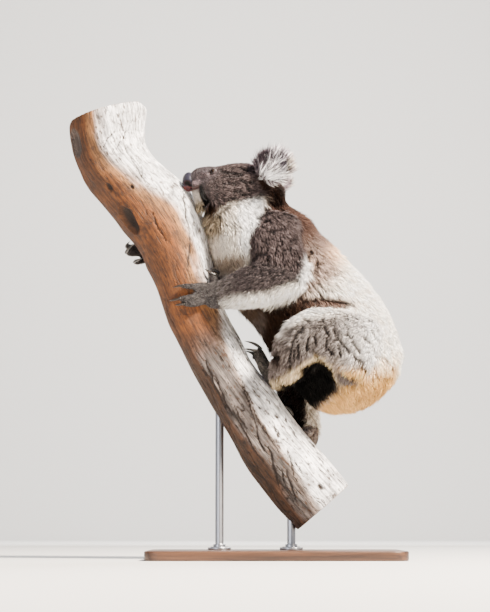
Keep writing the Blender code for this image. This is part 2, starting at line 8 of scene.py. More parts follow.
import math

import bpy
import numpy as np
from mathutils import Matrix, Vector
from mathutils.bvhtree import BVHTree
from mathutils.kdtree import KDTree


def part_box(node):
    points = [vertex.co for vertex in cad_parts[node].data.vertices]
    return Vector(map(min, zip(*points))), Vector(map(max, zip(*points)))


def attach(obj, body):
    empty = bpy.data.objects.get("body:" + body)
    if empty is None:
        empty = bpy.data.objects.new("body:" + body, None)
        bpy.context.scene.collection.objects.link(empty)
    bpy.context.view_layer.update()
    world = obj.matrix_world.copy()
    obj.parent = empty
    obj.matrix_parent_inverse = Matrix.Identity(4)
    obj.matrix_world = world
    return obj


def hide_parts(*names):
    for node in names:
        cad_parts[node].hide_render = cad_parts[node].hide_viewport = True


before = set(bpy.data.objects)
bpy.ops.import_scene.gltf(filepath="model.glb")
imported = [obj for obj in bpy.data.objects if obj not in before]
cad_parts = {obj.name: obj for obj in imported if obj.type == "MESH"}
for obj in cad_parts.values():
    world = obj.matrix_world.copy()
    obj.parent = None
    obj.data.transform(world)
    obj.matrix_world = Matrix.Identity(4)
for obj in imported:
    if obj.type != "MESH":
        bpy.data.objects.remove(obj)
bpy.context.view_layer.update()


# ---------------------------------------------------------------- camera
# It stands low on the koala's left side, four metres off, and looks up a little, so that the forehead,
# the near arm and the underside of the thigh all show.

CAMERA_TARGET = Vector((-0.057, 0.0, 0.479))
CAMERA_DISTANCE = 4.0
CAMERA_TILT = math.radians(6)
CAMERA_LENS = 123.8


def add_object(name, add, **settings):
    """A new object, made by one of Blender's own operators."""
    bpy.ops.object.select_all(action="DESELECT")
    add(**settings)
    bpy.context.object.name = name
    return bpy.context.object


def make_camera():
    away = Vector((0, -math.cos(CAMERA_TILT), -math.sin(CAMERA_TILT)))
    camera = add_object("Camera", bpy.ops.object.camera_add, location=CAMERA_TARGET + away * CAMERA_DISTANCE)
    camera.rotation_euler = (math.pi / 2 + CAMERA_TILT, 0, 0)
    camera.data.lens = CAMERA_LENS
    camera.data.clip_end = 50
    bpy.context.scene.camera = camera


make_camera()


# ---------------------------------------------------------------- trunk
# A cut length of river gum. Its bark has come away in strips, so most of the surface is smooth sapwood,
# pale grey-white on the upper side and orange-tan below, split by long dark fissures.

BARK_VOXEL = 0.0024
BARK_SMOOTHING = 70           # rounds, except near the rims of the sawn ends
RIM_WIDTH = 12                # rounds by which a rim is widened
BARK_SWELL = 0.0016           # what smoothing takes off the trunk and is put back
BARK_LUMP = 0.0022            # depth of the slow swellings
FISSURE_DEPTH = 0.0030
FIBRE_PITCH = 0.0040          # drawn coarser than the real fibres, so that they show
HOLLOW = (0.663, -45, 0.036, 0.018)       # height of the axis beside it, angle, half-length, half-width
HOLLOW_DEPTH = 0.016
LIP_HEIGHT = 0.003            # of the rolled edge round the hollow
SCAR = (0.800, -63, 0.024, 0.019)         # where a side branch broke off
SCAR_DEPTH = 0.005
KNOTS = [(0.727, -39, 0.011, 0.006), (0.704, -10, 0.006, 0.003), (0.123, 18, 0.009, 0.005),
         (0.560, 150, 0.012, 0.008), (0.330, -140, 0.014, 0.009)]
KNOT_DEPTH = 0.005
UPPER_END = (-0.25, 0.0, 0.97)            # the way the upper sawn end faces

# The largest cracks, each as places along it: height of the axis there and angle round it, then its width.
CRACKS = [
    ([(0.661, 59), (0.649, 49), (0.637, 45), (0.620, 41), (0.600, 35)], 0.0034),
    ([(0.612, 38), (0.577, 29), (0.557, 22), (0.542, 16)], 0.0026),
    ([(0.651, -4), (0.635, -8), (0.614, -8), (0.598, -7)], 0.0016),
    ([(0.777, -11), (0.790, 3), (0.801, 17)], 0.0018),
    ([(0.765, 4), (0.777, 21), (0.801, 38), (0.824, 48)], 0.0018),
    ([(0.737, 26), (0.720, 23), (0.705, 12)], 0.0016),
    ([(0.382, -25), (0.361, -29), (0.339, -40), (0.314, -41)], 0.0036),
    ([(0.320, 10), (0.297, 4), (0.276, -3)], 0.0022),
    ([(0.293, 5), (0.263, -8), (0.235, -19), (0.215, -24)], 0.0028),
    ([(0.219, -12), (0.195, -22), (0.175, -34), (0.160, -40)], 0.0034),
    ([(0.175, -12), (0.151, -20), (0.131, -27)], 0.0036),
    ([(0.199, 12), (0.179, 3), (0.160, -7)], 0.0020),
    ([(0.293, -30), (0.263, -35), (0.227, -36), (0.203, -35)], 0.0026),
    ([(0.281, -68), (0.247, -72), (0.215, -66), (0.182, -60), (0.151, -68)], 0.0044),
    ([(0.355, -25), (0.322, -32), (0.287, -37)], 0.0026),
]
CRACKS_MORE = 46              # smaller ones and those on the far side
CRACK_SEED = 11

# The lower edge of the pale upper side: height of the axis, and angle in degrees.
PALE_SIDE_EDGE = [(0.10, -18), (0.20, -4), (0.30, 8), (0.344, 17), (0.408, 31), (0.450, 46), (0.529, 36),
                 (0.573, 36), (0.632, 34), (0.672, 16), (0.700, 0), (0.750, -14), (0.820, -10)]

SAPWOOD_PALE = "#f4f1f0"
SAPWOOD_TAN = "#8a6039"
SAPWOOD_ORANGE = "#6c3c13"
WEATHERED_GREY = "#6a605b"
OLD_BARK = "#3f2817"
FISSURE_DARK = "#21160f"
SAWN_WOOD = "#c9a27c"
SAWN_RINGS = "#9c744e"


def only(*pieces):
    """Select these pieces and nothing else, and make the first one active."""
    bpy.ops.object.select_all(action="DESELECT")
    for piece in pieces:
        piece.select_set(True)
    bpy.context.view_layer.objects.active = pieces[0]


def apply_modifier(piece, kind, **settings):
    only(piece)
    modifier = piece.modifiers.new(kind.title(), kind)
    for name, value in settings.items():
        setattr(modifier, name, value)
    bpy.ops.object.modifier_apply(modifier=modifier.name)


def edit_all(piece, operator, **settings):
    """Run an operator of edit mode on the whole of a piece."""
    only(piece)
    bpy.ops.object.mode_set(mode="EDIT")
    bpy.ops.mesh.select_all(action="SELECT")
    operator(**settings)
    bpy.ops.object.mode_set(mode="OBJECT")


def copy_of_node(node, name):
    """A piece in the shape of a CAD node, with its loose triangles merged into one shell."""
    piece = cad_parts[node].copy()
    piece.data = piece.data.copy()
    piece.parent = None
    piece.name = name
    for key in list(piece.keys()):
        del piece[key]
    piece.data.materials.clear()
    bpy.context.scene.collection.objects.link(piece)
    edit_all(piece, bpy.ops.mesh.remove_doubles, threshold=0.00001)
    return piece


def points_of(piece):
    points = np.empty(len(piece.data.vertices) * 3, np.float32)
    piece.data.vertices.foreach_get("co", points)
    return points.reshape(-1, 3).astype(float)


def set_points(piece, points):
    piece.data.vertices.foreach_set("co", np.asarray(points, np.float32).ravel())
    piece.data.update()


def normals_of(piece):
    normals = np.empty(len(piece.data.vertices) * 3, np.float32)
    piece.data.vertex_normals.foreach_get("vector", normals)
    return normals.reshape(-1, 3).astype(float)


def edges_of(piece):
    edges = np.empty(len(piece.data.edges) * 2, np.int32)
    piece.data.edges.foreach_get("vertices", edges)
    return edges.reshape(-1, 2)


def blurred(values, edges, rounds, share=1.0):
    """The values at a mesh's vertices, each mixed with its neighbours' so many times over."""
    values = np.array(values, float)
    count = np.bincount(edges.ravel(), minlength=len(values))[:, None]
    share = np.broadcast_to(np.reshape(share, (-1, 1)), (len(values), 1)) * 0.5
    for _ in range(rounds):
        total = np.empty_like(values)
        for column in range(values.shape[1]):
            one_way = np.bincount(edges[:, 0], values[edges[:, 1], column], len(values))
            other_way = np.bincount(edges[:, 1], values[edges[:, 0], column], len(values))
            total[:, column] = one_way + other_way
        values += (total / count - values) * share
    return values


def ramp(values, start, end):
    """0 before start and 1 after end, with a smooth rise between them."""
    share = np.clip((values - start) / (end - start), 0, 1)
    return share * share * (3 - 2 * share)


def noise(points, size, seed=0):
    """Smooth random values from -1 to 1 whose bumps are about the given size, one number or one an axis."""
    places = np.asarray(points, float) / size + 1000.5
    cell = np.floor(places).astype(np.int64)
    share = places - cell
    share = share * share * (3 - 2 * share)
    total = np.zeros(len(places))
    for corner in range(8):
        step = np.array([corner & 1, corner >> 1 & 1, corner >> 2 & 1])
        x, y, z = (cell + step).T
        mixed = x * 73856093 ^ y * 19349663 ^ z * 83492791 ^ (seed + 1) * 2654435761
        mixed = (mixed ^ mixed >> 13) * 1274126177 & 0xFFFFFFFF
        mixed = mixed ^ mixed >> 16
        value = (mixed & 0xFFFF) / 32767.5 - 1
        total += value * np.prod(np.where(step, share, 1 - share), axis=1)
    return total


def set_attribute(piece, name, values):
    """Store a number, a vector or a colour at each vertex."""
    values = np.asarray(values, np.float32)
    if values.ndim == 1:
        kind, key = "FLOAT", "value"
    elif values.shape[1] == 3:
        kind, key = "FLOAT_VECTOR", "vector"
    else:
        kind, key = "FLOAT_COLOR", "color"
    attribute = piece.data.attributes.new(name, kind, "POINT")
    attribute.data.foreach_set(key, values.ravel())


def linear(colour):
    """The linear values of an sRGB hex colour."""
    channels = [int(colour[start:start + 2], 16) / 255 for start in (1, 3, 5)]
    return [c / 12.92 if c <= 0.04045 else ((c + 0.055) / 1.055) ** 2.4 for c in channels]


def new_material(name):
    """A material with nothing but its output and a Principled shader, which is returned with it."""
    material = bpy.data.materials.new(name)
    material.use_nodes = True
    return material, material.node_tree.nodes["Principled BSDF"]


def add_node(material, kind, out=0, **given):
    """Add a node and return one of its outputs, or all of them if out is None. A name that the node itself
    has is one of its settings. The others are inputs, with _ for a space or as n and their number, and each
    gets a value, a hex colour or a socket to link."""
    node = material.node_tree.nodes.new("ShaderNode" + kind)
    for name, value in given.items():
        if hasattr(node, name):
            setattr(node, name, value)
            continue
        key = int(name[1:]) if name[0] == "n" and name[1:].isdigit() else name.replace("_", " ")
        if isinstance(value, bpy.types.NodeSocket):
            material.node_tree.links.new(value, node.inputs[key])
        elif isinstance(value, str):
            node.inputs[key].default_value = (*linear(value), 1.0)
        else:
            node.inputs[key].default_value = value
    return node.outputs if out is None else node.outputs[out]


def link(material, source, target):
    material.node_tree.links.new(source, target)


class Trunk:
    """The trunk's centreline, from which places along, round and off it are measured."""

    def __init__(self, points):
        low = points[:, 2].min()
        high = points[:, 2].max()
        heights = np.arange(low + 0.10, high - 0.045, 0.02)
        middles = []
        for height in heights:
            near = points[np.abs(points[:, 2] - height) < 0.003]
            middles.append(((near[:, 0].min() + near[:, 0].max()) / 2, 0.0, height))
        line = np.array(middles)
        line[1:-1] = (line[:-2] + 2 * line[1:-1] + line[2:]) / 4
        first = line[0] + (line[0] - line[1]) * 8
        last = line[-1] + (line[-1] - line[-2]) * 8
        self.line = np.vstack([first, line, last])
        self.steps = np.diff(self.line, axis=0)
        self.lengths = np.linalg.norm(self.steps, axis=1)
        self.starts = np.concatenate([[0], np.cumsum(self.lengths)[:-1]])

    def measure(self, points):
        """For each point: the distance along the line, the angle round it and the distance off it."""
        best = np.full(len(points), np.inf)
        along = np.zeros(len(points))
        offset = np.zeros((len(points), 3))
        axis = np.zeros((len(points), 3))
        for start, step, length, travelled in zip(self.line, self.steps, self.lengths, self.starts):
            share = np.clip((points - start) @ step / length ** 2, 0, 1)
            away = points - start - share[:, None] * step
            distance = np.linalg.norm(away, axis=1)
            nearer = distance < best
            best[nearer] = distance[nearer]
            along[nearer] = travelled + share[nearer] * length
            offset[nearer] = away[nearer]
            axis[nearer] = step / length
        upper = np.cross([0.0, 1.0, 0.0], axis)
        angle = np.arctan2(np.einsum("ij,ij->i", offset, upper), -offset[:, 1])
        return along, angle, best

    def along_at(self, height):
        return np.interp(height, self.line[:, 2], np.concatenate([self.starts, [self.lengths.sum()]]))


def make_trunk():
    log = copy_of_node("perch", "trunk")
    apply_modifier(log, "REMESH", mode="VOXEL", voxel_size=BARK_VOXEL)
    points = points_of(log)
    edges = edges_of(log)
    trunk = Trunk(points)
    axis = trunk.steps / trunk.lengths[:, None]
    lower_end = -axis[0]
    facing = normals_of(log)
    sawn = np.maximum(ramp(facing @ lower_end, 0.90, 0.97) * (points[:, 2] < 0.16),
                      ramp(facing @ np.array(UPPER_END), 0.90, 0.97) * (points[:, 2] > 0.80))
    rim = np.clip(blurred(sawn[:, None], edges, RIM_WIDTH)[:, 0] * 3, 0, 1)
    points = blurred(points, edges, BARK_SMOOTHING, 1 - rim)
    set_points(log, points)
    facing = normals_of(log)
    along, angle, off = trunk.measure(points)
    straight = np.stack([off * np.cos(angle + along), off * np.sin(angle + along), along], axis=1)
    # how weathered it is: the lower half is split and grey, the upper half still smooth
    weathered = ramp(along + 0.03 * noise(straight, 0.04, 4), trunk.along_at(0.46), trunk.along_at(0.35))
    crack = cracks(trunk, along, angle, off, straight)
    hollow = patch(trunk, along, angle, off, *HOLLOW)
    scar = patch(trunk, along, angle, off, *SCAR)
    knot = np.max([patch(trunk, along, angle, off, *place) for place in KNOTS], axis=0)
    lip = ramp(hollow, 0.0, 0.08) * ramp(hollow, 0.30, 0.10)
    lump = (noise(straight, (0.034, 0.034, 0.05), 8) + 0.5 * noise(straight, (0.014, 0.014, 0.03), 9)
            + weathered * 0.5 * noise(straight, (0.006, 0.006, 0.05), 13)) * BARK_LUMP
    raised = (BARK_SWELL + lump - FISSURE_DEPTH * crack - HOLLOW_DEPTH * hollow + LIP_HEIGHT * lip
              - SCAR_DEPTH * scar - KNOT_DEPTH * knot)
    set_points(log, points + facing * (raised * (1 - 0.9 * rim))[:, None])
    lean = np.degrees(np.arcsin(np.clip(np.sin(angle), -1, 1)))
    heights, angles = np.array(PALE_SIDE_EDGE).T
    edge = np.interp(along, trunk.along_at(heights), angles)
    edge = edge + 9 * noise(straight, (0.02, 0.02, 0.10), 10) + 5 * noise(straight, (0.007, 0.007, 0.05), 14)
    tan = ramp(edge - lean, -16, 10)
    orange = ramp(edge - lean + 8 * noise(straight, (0.03, 0.03, 0.08), 12), 4, 36)
    old_edge = -44 + 14 * noise(straight, (0.012, 0.012, 0.10), 11)
    old = ramp(lean, old_edge + 14, old_edge - 8) * (0.55 + 0.45 * weathered)
    grey = weathered * ramp(lean, old_edge - 6, old_edge + 10) * ramp(edge - lean, -8, 8)
    rings = ramp(np.cos(scar * 26), 0.2, 0.9) * ramp(scar, 0.02, 0.15)
    dark = ramp(crack, 0.15, 0.8) + ramp(hollow, 0.12, 0.6) + rings * 0.7 + ramp(knot, 0.1, 0.6)
    set_attribute(log, "straight", straight)
    set_attribute(log, "stain", np.stack([tan, orange, old, np.clip(dark, 0, 1)], axis=1))
    set_attribute(log, "weathered", np.stack([grey, weathered, ramp(scar, 0.0, 0.2)], axis=1))
    set_attribute(log, "sawn", sawn)
    log.data.shade_smooth()
    log.data.materials.append(sapwood())
    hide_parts("perch")
    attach(log, "root")
    return log, trunk


def patch(trunk, along, angle, off, height, degrees, half_length, half_width):
    """How deep inside an oval patch on the trunk each point is, from 0 at its rim to 1 at its middle."""
    lengthways = (along - trunk.along_at(height)) / half_length
    turn = (angle - math.radians(degrees) + math.pi) % (2 * math.pi) - math.pi
    sideways = turn * off / half_width
    return ramp(1.15 - np.hypot(lengthways, sideways), 0.0, 0.9)


def cracks(trunk, along, angle, off, straight):
    """How deep each point lies in a crack, from 0 to 1. Cracks narrow to nothing at both ends."""
    chance = np.random.default_rng(CRACK_SEED)
    lines = list(CRACKS)
    for _ in range(CRACKS_MORE):
        low = chance.uniform(0.12, 0.40) if chance.random() < 0.75 else chance.uniform(0.42, 0.78)
        length = chance.uniform(0.03, 0.11)
        turn = chance.uniform(80, 300) if chance.random() < 0.7 else chance.uniform(-75, 20)
        drift = chance.normal(length * 110, 5, 2)
        line = [(low, turn), (low + length / 2, turn + drift[0] / 2), (low + length, turn + drift[1])]
        lines.append((line, chance.uniform(0.0014, 0.0030)))
    wander = 0.0026 * noise(straight, (0.02, 0.02, 0.018), 15) + 0.001 * noise(straight, 0.005, 16)
    deepest = np.zeros(len(along))
    for line, width in lines:
        stops = [(trunk.along_at(height), math.radians(degrees)) for height, degrees in line]
        for index, (first, second) in enumerate(zip(stops, stops[1:])):
            turn = (angle - first[1] + math.pi) % (2 * math.pi) - math.pi
            place = np.stack([along - first[0], turn * off + wander], axis=1)
            span = np.array([second[0] - first[0], (second[1] - first[1]) * 0.06])
            share = np.clip(place @ span / (span @ span), 0, 1)
            distance = np.linalg.norm(place - share[:, None] * span, axis=1)
            travelled = (index + share) / (len(stops) - 1)
            wide = width * (0.25 + 0.75 * np.sin(np.pi * travelled) ** 0.5)
            deepest = np.maximum(deepest, ramp(wide - distance, 0, wide * 0.8))
    return deepest


def sapwood():
    """Weathered gum sapwood: dry and matt, with fine fibres along the trunk, short checks and pin holes."""
    material, shader = new_material("weathered_gum_sapwood")
    place = add_node(material, "Attribute", out="Vector", attribute_name="straight")
    stain = add_node(material, "Attribute", out=None, attribute_name="stain")
    worn = add_node(material, "Attribute", out="Vector", attribute_name="weathered")
    worn = add_node(material, "SeparateXYZ", out=None, Vector=worn)
    sawn = add_node(material, "Attribute", out="Fac", attribute_name="sawn")
    parts = add_node(material, "SeparateColor", out=None, Color=stain["Color"])
    drawn_out = add_node(material, "Mapping", Vector=place, Scale=(1, 1, 0.09))
    fibres = add_node(material, "TexNoise", Vector=drawn_out, Scale=1 / FIBRE_PITCH, Detail=4,
                      Roughness=0.65)
    blotches = add_node(material, "TexNoise", Vector=place, Scale=34, Detail=6, Roughness=0.65)
    # a net of long narrow checks: the borders of cells 13 mm wide and 150 mm long, broken up by the blotches
    bent = add_node(material, "TexNoise", out="Color", Vector=place, Scale=60, Detail=3)
    bent = add_node(material, "VectorMath", operation="MULTIPLY_ADD", n0=bent, n1=(0.008, 0.008, 0.0),
                    n2=place)
    cells = add_node(material, "Mapping", Vector=bent, Scale=(1, 1, 0.085))
    border = add_node(material, "TexVoronoi", out="Distance", feature="DISTANCE_TO_EDGE", Vector=cells,
                      Scale=78)
    check = add_node(material, "MapRange", Value=border, From_Min=0.085, From_Max=0.02)
    broken = add_node(material, "TexNoise", Vector=place, Scale=70, Detail=3)
    broken = add_node(material, "MapRange", Value=broken, From_Min=0.50, From_Max=0.62)
    amount = add_node(material, "MapRange", Value=worn["Y"], To_Min=0.55, To_Max=1.0)
    check = add_node(material, "Math", operation="MULTIPLY", n0=check, n1=broken)
    check = add_node(material, "Math", operation="MULTIPLY", n0=check, n1=amount)
    # pin holes and grubby flecks 1 to 3 mm across
    short = add_node(material, "Mapping", Vector=place, Scale=(1, 1, 0.4))
    flecks = add_node(material, "TexNoise", Vector=short, Scale=240, Detail=3)
    flecks = add_node(material, "MapRange", Value=flecks, From_Min=0.57, From_Max=0.66, To_Max=0.85)
    colour = SAPWOOD_PALE
    for share, stained in ((parts["Red"], SAPWOOD_TAN), (parts["Green"], SAPWOOD_ORANGE),
                           (worn["X"], WEATHERED_GREY), (worn["Z"], WEATHERED_GREY),
                           (parts["Blue"], OLD_BARK)):
        colour = add_node(material, "Mix", out=2, data_type="RGBA", n0=share, n6=colour, n7=stained)
    speckle = add_node(material, "MapRange", Value=fibres, From_Min=0.38, From_Max=0.60, To_Min=0.42,
                       To_Max=1.20)
    clouds = add_node(material, "MapRange", Value=blotches, From_Min=0.34, From_Max=0.62, To_Min=0.50,
                      To_Max=1.20)
    shade = add_node(material, "Math", operation="MULTIPLY", n0=speckle, n1=clouds)
    # broad pale and dark streaks, 6 mm wide, where the wood is split
    streaks = add_node(material, "TexNoise", Vector=drawn_out, Scale=170, Detail=3)
    streaks = add_node(material, "MapRange", Value=streaks, From_Min=0.36, From_Max=0.64, To_Min=0.45,
                       To_Max=1.35)
    streaks = add_node(material, "Mix", data_type="FLOAT", n0=worn["X"], n2=1.0, n3=streaks)
    shade = add_node(material, "Math", operation="MULTIPLY", n0=shade, n1=streaks)
    colour = add_node(material, "Mix", out=2, data_type="RGBA", blend_type="MULTIPLY", n0=1.0, n6=colour,
                      n7=shade)
    for share, stained in ((flecks, OLD_BARK), (check, FISSURE_DARK), (stain["Alpha"], FISSURE_DARK)):
        colour = add_node(material, "Mix", out=2, data_type="RGBA", n0=share, n6=colour, n7=stained)
    flattened = add_node(material, "Mapping", Vector=place, Scale=(1, 1, 0))
    out = add_node(material, "VectorMath", out="Value", operation="LENGTH", n0=flattened)
    grain = add_node(material, "TexWave", wave_type="RINGS", rings_direction="Z", Vector=place, Scale=55,
                     Distortion=2.5, Detail=3)
    end = add_node(material, "Mix", out=2, data_type="RGBA", n0=grain, n6=SAWN_WOOD, n7=SAWN_RINGS)
    heart = add_node(material, "MapRange", Value=out, From_Min=0.0, From_Max=0.06, To_Min=0.75, To_Max=1.0)
    end = add_node(material, "Mix", out=2, data_type="RGBA", blend_type="MULTIPLY", n0=1.0, n6=end,
                   n7=heart)
    colour = add_node(material, "Mix", out=2, data_type="RGBA", n0=sawn, n6=colour, n7=end)
    link(material, colour, shader.inputs["Base Color"])
    shader.inputs["Roughness"].default_value = 0.82
    relief = add_node(material, "Math", operation="SUBTRACT", n0=fibres, n1=check)
    bump = add_node(material, "Bump", Height=relief, Strength=0.9, Distance=0.0020)
    link(material, bump, shader.inputs["Normal"])
    return material


log, trunk = make_trunk()


# ---------------------------------------------------------------- stand
# A dark oiled hardwood board with a softened edge, and two turned steel rods that rise from round flanges
# into the underside of the trunk. Each flange is held down by three small screws.

BOARD_CORNER = 0.030
BOARD_EDGE = 0.003
ROD_EDGE = 0.0008
ROD_RADIUS = 0.008
ROD_SUNK = 0.004              # how far a rod goes into the trunk
FLANGE_HEIGHT = 0.005
COLLAR_RADIUS = 0.0115
COLLAR_HEIGHT = 0.006
SCREW_RADIUS = 0.0026
SCREW_HEIGHT = 0.0026
SCREW_CIRCLE = 0.0165
SOCKET_RIM = 0.55             # of the radius of a screw's head
SOCKET_DEPTH = 0.0009

BOARD_LIGHT = "#5a3a25"
BOARD_DARK = "#2e1b10"
STEEL = "#b9b9bc"


def select_where(piece, test):
    """Select the faces of the piece in edit mode whose middle and normal pass the test."""
    only(piece)
    bpy.ops.object.mode_set(mode="EDIT")
    bpy.ops.mesh.select_mode(type="FACE")
    bpy.ops.mesh.select_all(action="DESELECT")
    bpy.ops.object.mode_set(mode="OBJECT")
    for face in piece.data.polygons:
        face.select = bool(test(face.center, face.normal))
    bpy.ops.object.mode_set(mode="EDIT")


def settle_place(piece):
    """Put the object at the origin, unturned and unscaled, with its place in its mesh."""
    bpy.ops.object.mode_set(mode="OBJECT")
    only(piece)
    bpy.ops.object.transform_apply(location=True, rotation=True, scale=True)


def make_board():
    low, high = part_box("stand_base")
    board = add_object("stand_board", bpy.ops.mesh.primitive_cube_add, size=1, location=(low + high) / 2)
    board.scale = high - low
    settle_place(board)
    bpy.ops.object.mode_set(mode="EDIT")
    bpy.ops.mesh.select_mode(type="EDGE")
    bpy.ops.mesh.select_all(action="DESELECT")
    bpy.ops.object.mode_set(mode="OBJECT")
    for edge in board.data.edges:
        ends = [board.data.vertices[index].co for index in edge.vertices]
        edge.select = abs(ends[0].z - ends[1].z) > 0.001
    bpy.ops.object.mode_set(mode="EDIT")
    bpy.ops.mesh.bevel(offset=BOARD_CORNER, segments=12)
    bpy.ops.object.mode_set(mode="OBJECT")
    apply_modifier(board, "BEVEL", width=BOARD_EDGE, segments=4, angle_limit=math.radians(60))
    only(board)
    bpy.ops.object.shade_smooth_by_angle(angle=math.radians(40))
    board.data.materials.append(oiled_hardwood())
    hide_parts("stand_base")
    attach(board, "root")


def oiled_hardwood():
    """Hardwood under oil: a low sheen, with darker grain lines that run the length of the board."""
    material, shader = new_material("oiled_hardwood")
    place = add_node(material, "TexCoord", out="Object")
    drawn_out = add_node(material, "Mapping", Vector=place, Scale=(0.06, 1, 1))
    bands = add_node(material, "TexNoise", Vector=drawn_out, Scale=90, Detail=6, Roughness=0.6,
                     Distortion=0.6)
    pores = add_node(material, "TexNoise", Vector=drawn_out, Scale=700, Detail=2)
    share = add_node(material, "MapRange", Value=bands, From_Min=0.35, From_Max=0.65)
    colour = add_node(material, "Mix", out=2, data_type="RGBA", n0=share, n6=BOARD_LIGHT, n7=BOARD_DARK)
    link(material, colour, shader.inputs["Base Color"])
    shader.inputs["Roughness"].default_value = 0.42
    bump = add_node(material, "Bump", Height=pores, Strength=0.25, Distance=0.0003)
    link(material, bump, shader.inputs["Normal"])
    return material


def satin_steel():
    """Turned steel, satin from fine machining rings round the rod."""
    material, shader = new_material("satin_turned_steel")
    place = add_node(material, "TexCoord", out="Object")
    squeezed = add_node(material, "Mapping", Vector=place, Scale=(0.05, 0.05, 1))
    rings = add_node(material, "TexNoise", Vector=squeezed, Scale=1500, Detail=2)
    shine = add_node(material, "MapRange", Value=rings, To_Min=0.24, To_Max=0.40)
    link(material, shine, shader.inputs["Roughness"])
    shader.inputs["Base Color"].default_value = (*linear(STEEL), 1)
    shader.inputs["Metallic"].default_value = 1.0
    return material


def raise_top(piece, *steps):
    """Inset the flat top of a turned piece and draw it up, or down, by each step's two measures."""
    select_where(piece, lambda middle, normal: normal.z > 0.9)
    for inset, rise in steps:
        bpy.ops.mesh.inset(thickness=inset)
        bpy.ops.mesh.extrude_region_move(TRANSFORM_OT_translate={"value": (0, 0, rise)})
    settle_place(piece)


def make_rod(node, steel):
    low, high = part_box(node)
    centre = (low + high) / 2
    radius = (high.x - low.x) / 2
    rod = add_object(
        node.replace("stand_rod", "stand_turned_rod"), bpy.ops.mesh.primitive_cylinder_add,
        vertices=48, radius=radius, depth=FLANGE_HEIGHT,
        location=(centre.x, centre.y, low.z + FLANGE_HEIGHT / 2),
    )
    settle_place(rod)
    rise = high.z - low.z - FLANGE_HEIGHT - COLLAR_HEIGHT + ROD_SUNK
    raise_top(rod, (radius - COLLAR_RADIUS, COLLAR_HEIGHT), (COLLAR_RADIUS - ROD_RADIUS, rise))
    apply_modifier(rod, "BEVEL", width=ROD_EDGE, segments=3, angle_limit=math.radians(50))
    parts = [rod]
    for turn in range(3):
        angle = turn * 2 * math.pi / 3 + math.pi / 6
        place = (centre.x + SCREW_CIRCLE * math.cos(angle), centre.y + SCREW_CIRCLE * math.sin(angle),
                 low.z + FLANGE_HEIGHT)
        screw = add_object("screw", bpy.ops.mesh.primitive_cylinder_add, vertices=20, radius=SCREW_RADIUS,
                           depth=SCREW_HEIGHT, location=place)
        settle_place(screw)
        raise_top(screw, (SCREW_RADIUS * SOCKET_RIM, -SOCKET_DEPTH))
        parts.append(screw)
    only(*parts)
    bpy.ops.object.join()
    only(rod)
    bpy.ops.object.shade_smooth_by_angle(angle=math.radians(35))
    rod.data.materials.clear()
    rod.data.materials.append(steel)
    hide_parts(node)
    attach(rod, "root")


make_board()
steel = satin_steel()
make_rod("stand_rod_long", steel)
make_rod("stand_rod_short", steel)


# ---------------------------------------------------------------- skin
# One closed skin over head, body and limbs. It lies inside the flesh solids by the depth of the coat, and
# carries the coat's colours, its length and the direction it lies in. The ears are flaps on short roots.

SKIN_VOXEL = 0.0030
SEAM_OVERLAP = 0.0008         # how far each solid is swollen so that neighbours meet
EAR_FLAP = (0.036, 0.0042, 0.028)         # radii of the flap of the ear
EAR_ROOT = (0.018, 0.020, 0.017)          # radii of the root that joins the flap to the head
EAR_TURN = math.radians(22)
EAR_CUP = 7.0                 # how strongly the flap is dished, in 1/m
EAR_SET = (-0.005, 0.007, 0.002)          # the flap's middle, from that of the ear's solid: back, inward, up
ROOT_SET = (-0.009, 0.021, -0.002)        # the root's middle
LID_OPENING = (0.92, 0.44)    # half-angles of the opening, along and across the eye, in radians
LID_TILT = math.radians(36)   # how far the opening rises towards the back of the head
LID_THICKNESS = 0.0011
LID_ROLL = 0.0008             # height of a lid's rolled edge and depth of the fold round it
SOCKET_BACK = 0.0025          # how far behind the glass the skin lies inside the opening
GAZE = (-0.42, 0.86, 0.12)    # the way an eye looks: forward, outward, up
EYES = ("eye_left", "eye_right")
EARS = ((-1, "ear_left"), (1, "ear_right"))
BODY_SMOOTHING = 14           # rounds each
DEPTH_SMOOTHING = 30
LIE_SMOOTHING = 24
TRAIT_SMOOTHING = 12
MOUTH = [(-0.160, 0.6955), (-0.1430, 0.6975), (-0.1405, 0.690), (-0.1355, 0.680), (-0.1290, 0.670)]   # X, Z
MOUTH_DEPTH = 0.0022
HEAD_MIDLINE = (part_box("nose")[0].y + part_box("nose")[1].y) / 2

# For each kind of piece: depth of the coat, length of a tuft, its lift off the skin in degrees, its width,
# how many tufts grow on a square centimetre, how wide the locks are that they gather in, how dark the
# painted shade in the gaps between the locks is, and the coat's colour. All lengths here are in millimetres.
COAT = {
    "head": (6.0, 11, 28, 1.3, 46, 3.8, 0.60, "#413939"),
    "neck": (10.0, 18, 34, 1.8, 32, 5.5, 0.65, "#534037"),
    "chest": (12.0, 23, 34, 2.0, 30, 8.0, 0.1, "#bdb2a6"),
    "abdomen": (12.0, 21, 32, 2.0, 29, 5.0, 0.45, "#917b6a"),
    "rump": (11.0, 19, 34, 2.0, 29, 6.0, 0.22, "#fdfbfa"),
    "upper_arm": (9.0, 15, 36, 1.6, 40, 4.2, 0.75, "#4b4242"),
    "forearm": (6.5, 12, 36, 1.4, 44, 3.2, 0.72, "#484141"),
    "hand": (1.8, 5, 24, 1.2, 60, 2.4, 0.80, "#4d4948"),
    "thigh": (10.0, 17, 38, 1.7, 37, 4.6, 0.75, "#726b68"),
    "shank": (7.0, 14, 36, 1.6, 38, 4.4, 0.7, "#645c59"),
    "foot": (1.9, 5, 24, 1.2, 60, 2.4, 0.80, "#4c4742"),
    "ear": (1.5, 16, 40, 1.15, 76, 4.0, 0.45, "#b9b4b4"),
}

